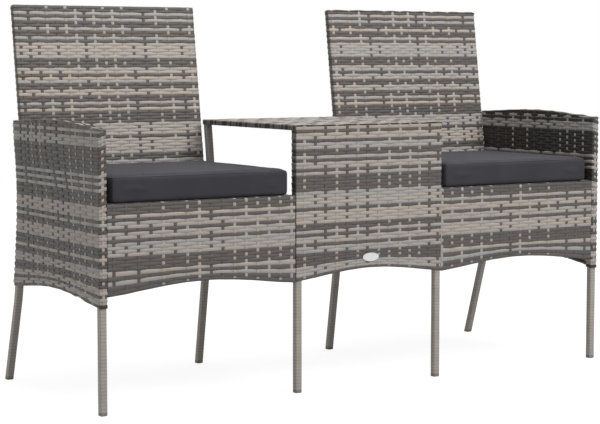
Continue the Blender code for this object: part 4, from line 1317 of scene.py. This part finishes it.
def strip_material(name):
    material, graph, shader = new_material(name, 0.5, specular=0.45)
    read = {}
    for label in ("shade", "tone", "across", "along"):
        read[label] = graph.put("ShaderNodeAttribute", attribute_name=label).outputs["Fac"]
    grooves = use_group(graph, STRIP_GROOVES, Across=read["across"], Along=read["along"],
                        Tone=read["tone"])
    # Below 0, shade mixes towards the near black: painted shade, and on the arms' dark rows a
    # slightly deeper grey.
    below = graph.math("MULTIPLY", read["shade"], -1.0, clamp=True)
    above = graph.math("MULTIPLY", read["shade"], 1.0, clamp=True)
    base = graph.mix(above, graph.mix(below, DARK_STRIP, DEEP_GREY_AND_PAINTED_SHADE), LIGHT_STRIP)
    warm = graph.mix(graph.spread(read["tone"], -1.0, 1.0), COOL_CAST, WARM_CAST)
    tinted = graph.mix(0.85, base, warm, "MULTIPLY")
    level = graph.math("ADD", graph.spread(grooves["Streak"], 0.3, 0.7, 0.90, 1.08),
                       graph.math("MULTIPLY", read["tone"], 0.05))
    grey = graph.vector(level, level, level)
    streaked = graph.mix(1.0, tinted, grey, "MULTIPLY")
    # The edges of every strip are darkened: painted shade where the strips touch.
    rim = graph.math("MULTIPLY", grooves["Edge"],
                     graph.spread(read["shade"], 0.0, 1.0, 0.50, 0.10))
    edged = graph.mix(rim, streaked, PAINTED_EDGE_SHADE)
    graph.feed(shader.inputs["Base Color"], edged)
    graph.feed(shader.inputs["Roughness"], graph.spread(grooves["Streak"], 0.3, 0.7, 0.44, 0.58))
    graph.feed(shader.inputs["Normal"], graph.bump(grooves["Height"], 0.35, 0.00025))
    return material


WOVEN = strip_material("woven_resin")
print(WOVEN.name, "ready")

# %% [markdown]
# Now the lines become strips: the tree runs once for each panel, and the result replaces the
# plain solid that stands for it in the frame.

# %% Make the woven panels
ARM_SWING = 0.0008        # the strips of an arm swing more than the others

for side, word in SIDES:
    for part, weave, seed, swing, stands_for in (
            ("back", backs[side], 10, SWING, ["back_weave"]),
            ("arm", arms[side], 20, ARM_SWING, ["arm_weave"]),
            ("seat", seats[side], 30, SWING, ["seat_deck", "apron_weave"])):
        panel = weave_object(f"{word}_{part}_strips", weave, WOVEN, seed + side, swing)
        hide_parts(*(f"{word}_{node}" for node in stands_for))
panel = weave_object("table_strips", table, WOVEN, 41)
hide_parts("table_top_weave", "table_front_weave")

# %% [markdown]
# ### Coated tube, plastic, zinc and plate
# The legs are wound with a taupe strip. The tubes under the weave are plain dark steel. The
# winding is too flat to show in a leg's outline, so its seams are waves on Object coordinates
# and not a modelled strip.

# %% Finishes of the frame
WIND = 0.0072             # width of the strip wound round a leg
SEAM_SHADE = seen(70, 66, 62)


def coated_material(name, dark, colour, roughness, grain=0.0006, blotch=0.03, relief=0.25,
                    metallic=0.0, specular=0.4, wound=0.0):
    """A coated, moulded or plated finish in two close colours.

    `wound` is the strength of the seams of a strip wound round a tube.
    """
    material, graph, shader = new_material(name, roughness, metallic, specular)
    place = graph.place()
    grains = use_group(graph, FINE_GRAIN, Vector=place, Grain_size=grain, Blotch_size=blotch)
    mixed = graph.mix(graph.spread(grains["Blotch"], 0.35, 0.65), dark, colour)
    height = grains["Height"]
    if wound:
        turns = graph.math("MULTIPLY", graph.axes(place)[2], math.pi / WIND)
        wave = graph.math("ABSOLUTE", graph.math("SINE", turns))
        seam = graph.spread(wave, 0.10, 0.45, 1.0, 0.0)
        mixed = graph.mix(graph.math("MULTIPLY", seam, wound), mixed, SEAM_SHADE)
        height = graph.math("SUBTRACT", height, graph.math("MULTIPLY", seam, 4.0))
    graph.feed(shader.inputs["Base Color"], mixed)
    graph.feed(shader.inputs["Normal"], graph.bump(height, relief, 0.0001))
    return material


LEG_COAT = coated_material("taupe_wound_tube", seen(176, 169, 161), seen(186, 178, 170), 0.42,
                           wound=0.32)
DARK_STEEL = coated_material("dark_steel_tube", seen(74, 71, 68), seen(84, 80, 77), 0.5)
FOOT_PLASTIC = coated_material("taupe_foot_plastic", seen(140, 134, 128), seen(150, 144, 137), 0.55)
ZINC = coated_material("zinc_bolt", seen(176, 178, 180), seen(206, 208, 210), 0.35, grain=0.0004,
                       blotch=0.003, relief=0.2, metallic=1.0, specular=0.5)
PLATE = coated_material("pale_blank_plate", seen(250, 250, 248), seen(255, 255, 253), 0.38,
                        grain=0.0005, blotch=0.01, relief=0.15, specular=0.5)

FINISH_OF = (("bolt", ZINC), ("foot_cap", FOOT_PLASTIC), ("tag", PLATE), ("rear_post", LEG_COAT),
             ("front_leg", LEG_COAT), ("rear_leg", LEG_COAT))
counts = {}
for name, obj in NODES.items():
    finish = next((material for word, material in FINISH_OF if word in name), DARK_STEEL)
    for slot in obj.material_slots:
        slot.material = finish
    counts[finish.name] = counts.get(finish.name, 0) + 1
print(counts)

# %% [markdown]
# ## The cushions
# Each seat holds a thin boxed cushion in dark grey polyester. The fabric is a close plain weave:
# its threads are far too fine to model, so they are waves in the bump, with a faint unevenness
# in the colour over them.

# %% Cushion fabric
THREAD = 0.0007
FABRIC, graph, shader = new_material("dark_grey_polyester", 0.82, specular=0.25)
shader.inputs["Sheen Weight"].default_value = 0.06
shader.inputs["Sheen Roughness"].default_value = 0.5
place = graph.place()
threads = [graph.math("SINE", graph.math("MULTIPLY", axis, 2 * math.pi / THREAD))
           for axis in graph.axes(place)]
cloth = graph.math("ADD", graph.math("MULTIPLY", threads[0], threads[1]),
                   graph.math("MULTIPLY", threads[2], 0.6))
blotch = graph.noise(place, 18.0, 2.0, 0.5)
weft = graph.noise(place, 900.0, 1.0, 0.5)
base = graph.mix(graph.spread(blotch, 0.35, 0.65), seen(62, 62, 68), seen(67, 67, 73))
fabric = graph.mix(graph.spread(weft, 0.3, 0.7, 0.0, 0.35), base, seen(50, 50, 55))
graph.feed(shader.inputs["Base Color"], fabric)
graph.feed(shader.inputs["Normal"], graph.bump(cloth, 0.25, 0.0002))
print(FABRIC.name, "thread", THREAD)

# %% [markdown]
# The solid in the frame gives a cushion its size. It could be rounded with a bevel, but a filled
# cover bulges more in its middle than at its corners. So a slightly smaller copy is remeshed and
# blown up as cloth. The filling pushes it outwards and never past the room of the solid.

# %% Fill a cover
CUSHION_INSET = 0.0010    # the start stands inside its solid by this much
CUSHION_MOVE = 0.0055     # and no point moves further than this
CUSHION_ROOM = 0.0002     # left between the cover and the room of the solid
VOXEL = 0.004
PRESSURE = 4.0
FRAMES = 20               # of the simulation


def plain_mesh(obj):
    """Bakes an object's modifiers into a plain mesh."""
    graph = bpy.context.evaluated_depsgraph_get()
    mesh = bpy.data.meshes.new_from_object(obj.evaluated_get(graph), depsgraph=graph)
    obj.modifiers.clear()
    obj.data = mesh
    return mesh


def blow_up(obj):
    """Fills a closed cover with air, as cloth under pressure without weight."""
    cloth = obj.modifiers.new("cloth", "CLOTH")
    cloth.settings.use_pressure = True
    cloth.settings.uniform_pressure_force = PRESSURE
    cloth.settings.effector_weights.gravity = 0.0
    cloth.settings.quality = 5
    cloth.collision_settings.use_self_collision = False
    for number in range(1, FRAMES + 1):
        bpy.context.scene.frame_set(number)
    mesh = plain_mesh(obj)
    bpy.context.scene.frame_set(1)
    return mesh


print("voxel", VOXEL, " pressure", PRESSURE)

# %% [markdown]
# The sewn edge is a thin cord. It is laid on last, because the remesh would swallow a cord that
# is thinner than a voxel: rays from all round find the cover just under its upper edge, and a
# thin tube follows them.

# %% Sew the edge
SEAM_BELOW = 0.0060       # under the top of the solid
SEAM_RADIUS = 0.0008
SEAM_POINTS = 720
SEAM_SIDES = 6


def add_seam(obj, middle, height):
    """A thin cord of fabric along the edge between the top and the sides."""
    tree = BVHTree.FromObject(obj, bpy.context.evaluated_depsgraph_get())
    up = Vector((0, 0, 1))
    ring = []
    for share in np.linspace(0, 1, SEAM_POINTS, endpoint=False):
        way = Vector((math.cos(2 * math.pi * share), math.sin(2 * math.pi * share), 0))
        place = tree.ray_cast(Vector((middle[0], middle[1], height)) + way, -way)[0]
        ring.append(place + way * SEAM_RADIUS * 0.2)
    bm = bmesh.new()
    loops = []
    for i, place in enumerate(ring):
        along = (ring[(i + 1) % SEAM_POINTS] - ring[i - 1]).normalized()
        out = along.cross(up)
        loops.append([bm.verts.new(place + SEAM_RADIUS * (math.cos(a) * out + math.sin(a) * up))
                      for a in np.linspace(0, 2 * math.pi, SEAM_SIDES, endpoint=False)])
    for i in range(SEAM_POINTS):
        a, b = loops[i], loops[(i + 1) % SEAM_POINTS]
        for j in range(SEAM_SIDES):
            k = (j + 1) % SEAM_SIDES
            bm.faces.new((a[j], a[k], b[k], b[j]))
    bmesh.ops.recalc_face_normals(bm, faces=bm.faces)
    bm.from_mesh(obj.data)
    bm.to_mesh(obj.data)
    bm.free()


print("seam", 2 * SEAM_RADIUS, "thick")

# %% [markdown]
# Each cushion lies on its seat and lifts off, so it rides on a body of its own.


# %% Make the cushions
def cushion(word):
    low, high = (np.array(corner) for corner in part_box(word + "_cushion"))
    source = NODES[word + "_cushion"]
    mesh = source.data.copy()
    mesh.transform(source.matrix_world)
    mesh.materials.clear()
    mesh.materials.append(FABRIC)
    points = points_of(mesh)
    middle, size = (low + high) / 2, high - low
    points = middle + (points - middle) * (1 - 2 * CUSHION_INSET / size)
    points[:, 2] -= CUSHION_INSET
    mesh.vertices.foreach_set("co", points.ravel())
    obj = bpy.data.objects.new(word + "_seat_cushion", mesh)
    bpy.context.scene.collection.objects.link(obj)
    remesh = obj.modifiers.new("remesh", "REMESH")
    remesh.mode = "VOXEL"
    remesh.voxel_size = VOXEL
    mesh = plain_mesh(obj)
    start = points_of(mesh)
    mesh = blow_up(obj)
    move = points_of(mesh) - start
    move[move * (start - middle) < 0] = 0        # the filling only pushes outwards
    far = np.linalg.norm(move, axis=1, keepdims=True)
    end = start + move * np.minimum(1, CUSHION_MOVE / np.maximum(far, 1e-9))
    end = np.minimum(np.maximum(end, low + CUSHION_ROOM), high - CUSHION_ROOM)
    mesh.vertices.foreach_set("co", end.ravel())
    mesh.update()
    smooth = obj.modifiers.new("smooth", "SUBSURF")
    smooth.levels = smooth.render_levels = 1
    plain_mesh(obj)
    add_seam(obj, middle, high[2] - SEAM_BELOW)
    mesh = obj.data
    mesh.shade_smooth()
    mesh.materials.clear()
    mesh.materials.append(FABRIC)
    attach(obj, word + "_cushion_body")
    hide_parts(word + "_cushion")
    print(obj.name, ":", [round(float(v), 4) for v in np.ptp(end, axis=0)],
          "of", [round(float(v), 4) for v in size],
          " moved at most", round(float(np.minimum(far, CUSHION_MOVE).max()), 4),
          " faces", len(mesh.polygons))


for side, word in SIDES:
    cushion(word)

# %% [markdown]
# ## The studio
# A white floor and a white world stand behind the object. The camera, and gloss, see them as
# plain white, while their real light on the object stays soft and level.

# %% World
WORLD_LIGHT = 0.38        # strength of the world's light on the object


def seen_directly(graph):
    """1 for camera, glossy and transmitted rays, and 0 for the light that falls on the object."""
    path = graph.put("ShaderNodeLightPath").outputs
    mirrored = graph.math("MAXIMUM", path["Is Glossy Ray"], path["Is Transmission Ray"])
    return graph.math("MAXIMUM", path["Is Camera Ray"], mirrored)


def mix_shaders(graph, factor, plain, shown):
    node = graph.put("ShaderNodeMixShader")
    for socket, value in zip(node.inputs, (factor, plain, shown)):
        graph.links.new(value, socket)
    return node.outputs[0]


world = bpy.data.worlds.new("studio")
bpy.context.scene.world = world
world.use_nodes = True
world.node_tree.nodes.clear()
graph = Graph(world.node_tree)
white, soft = (graph.put("ShaderNodeBackground") for _ in range(2))
white.inputs["Color"].default_value = soft.inputs["Color"].default_value = (1, 1, 1, 1)
soft.inputs["Strength"].default_value = WORLD_LIGHT
sky = mix_shaders(graph, seen_directly(graph), soft.outputs[0], white.outputs[0])
graph.links.new(sky, graph.put("ShaderNodeOutputWorld").inputs["Surface"])
print("world light", WORLD_LIGHT)

# %% [markdown]
# A floor that is really white would light the object from below. This one is grey for the light
# that falls on it, and it glows only where it is seen, which leaves the soft shadow visible.

# %% Floor
FLOOR_GREY = (0.35, 0.35, 0.35, 1)
FLOOR_GLOW = 0.86         # makes the grey floor white where it is seen
FLOOR_SIZE = 6.0          # half its width
FLOOR_DROP = 0.0005       # the floor lies this far below the feet

floor_material = bpy.data.materials.new("white_floor")
floor_material.use_nodes = True
graph = Graph(floor_material.node_tree)
graph.nodes.clear()
matt = graph.put("ShaderNodeBsdfDiffuse")
matt.inputs["Color"].default_value = FLOOR_GREY
glow = graph.put("ShaderNodeEmission")
glow.inputs["Strength"].default_value = FLOOR_GLOW
shown = graph.put("ShaderNodeAddShader")
graph.links.new(matt.outputs[0], shown.inputs[0])
graph.links.new(glow.outputs[0], shown.inputs[1])
ground = mix_shaders(graph, seen_directly(graph), matt.outputs[0], shown.outputs[0])
graph.links.new(ground, graph.put("ShaderNodeOutputMaterial").inputs["Surface"])

floor_mesh = bpy.data.meshes.new("floor")
bm = bmesh.new()
bmesh.ops.create_grid(bm, x_segments=1, y_segments=1, size=FLOOR_SIZE)
bm.to_mesh(floor_mesh)
bm.free()
floor_mesh.transform(Matrix.Translation((0, 0, -FLOOR_DROP)))
floor_mesh.materials.append(floor_material)
floor = bpy.data.objects.new("floor", floor_mesh)
bpy.context.scene.collection.objects.link(floor)
print("floor", 2 * FLOOR_SIZE, "m wide")

# %% [markdown]
# Three round area lamps light the set: the key from the front right, a weak fill from the left
# and a soft one from above.


# %% Lamps
def lamp(name, place, target, size, power):
    data = bpy.data.lights.new(name, "AREA")
    data.shape = "DISK"
    data.size = size
    data.energy = power
    obj = bpy.data.objects.new(name, data)
    bpy.context.scene.collection.objects.link(obj)
    obj.location = place
    obj.rotation_euler = (Vector(target) - Vector(place)).to_track_quat("-Z", "Y").to_euler()


SEAT_MIDDLE = (0, 0, 0.4)
lamp("key", (1.2, -3.2, 3.2), SEAT_MIDDLE, 2.0, 82)
lamp("fill", (-2.8, -2.2, 1.8), SEAT_MIDDLE, 2.4, 4)
lamp("top", (0.0, -0.4, 3.4), SEAT_MIDDLE, 2.2, 40)
bpy.context.scene.view_settings.view_transform = "Standard"

# %% [markdown]
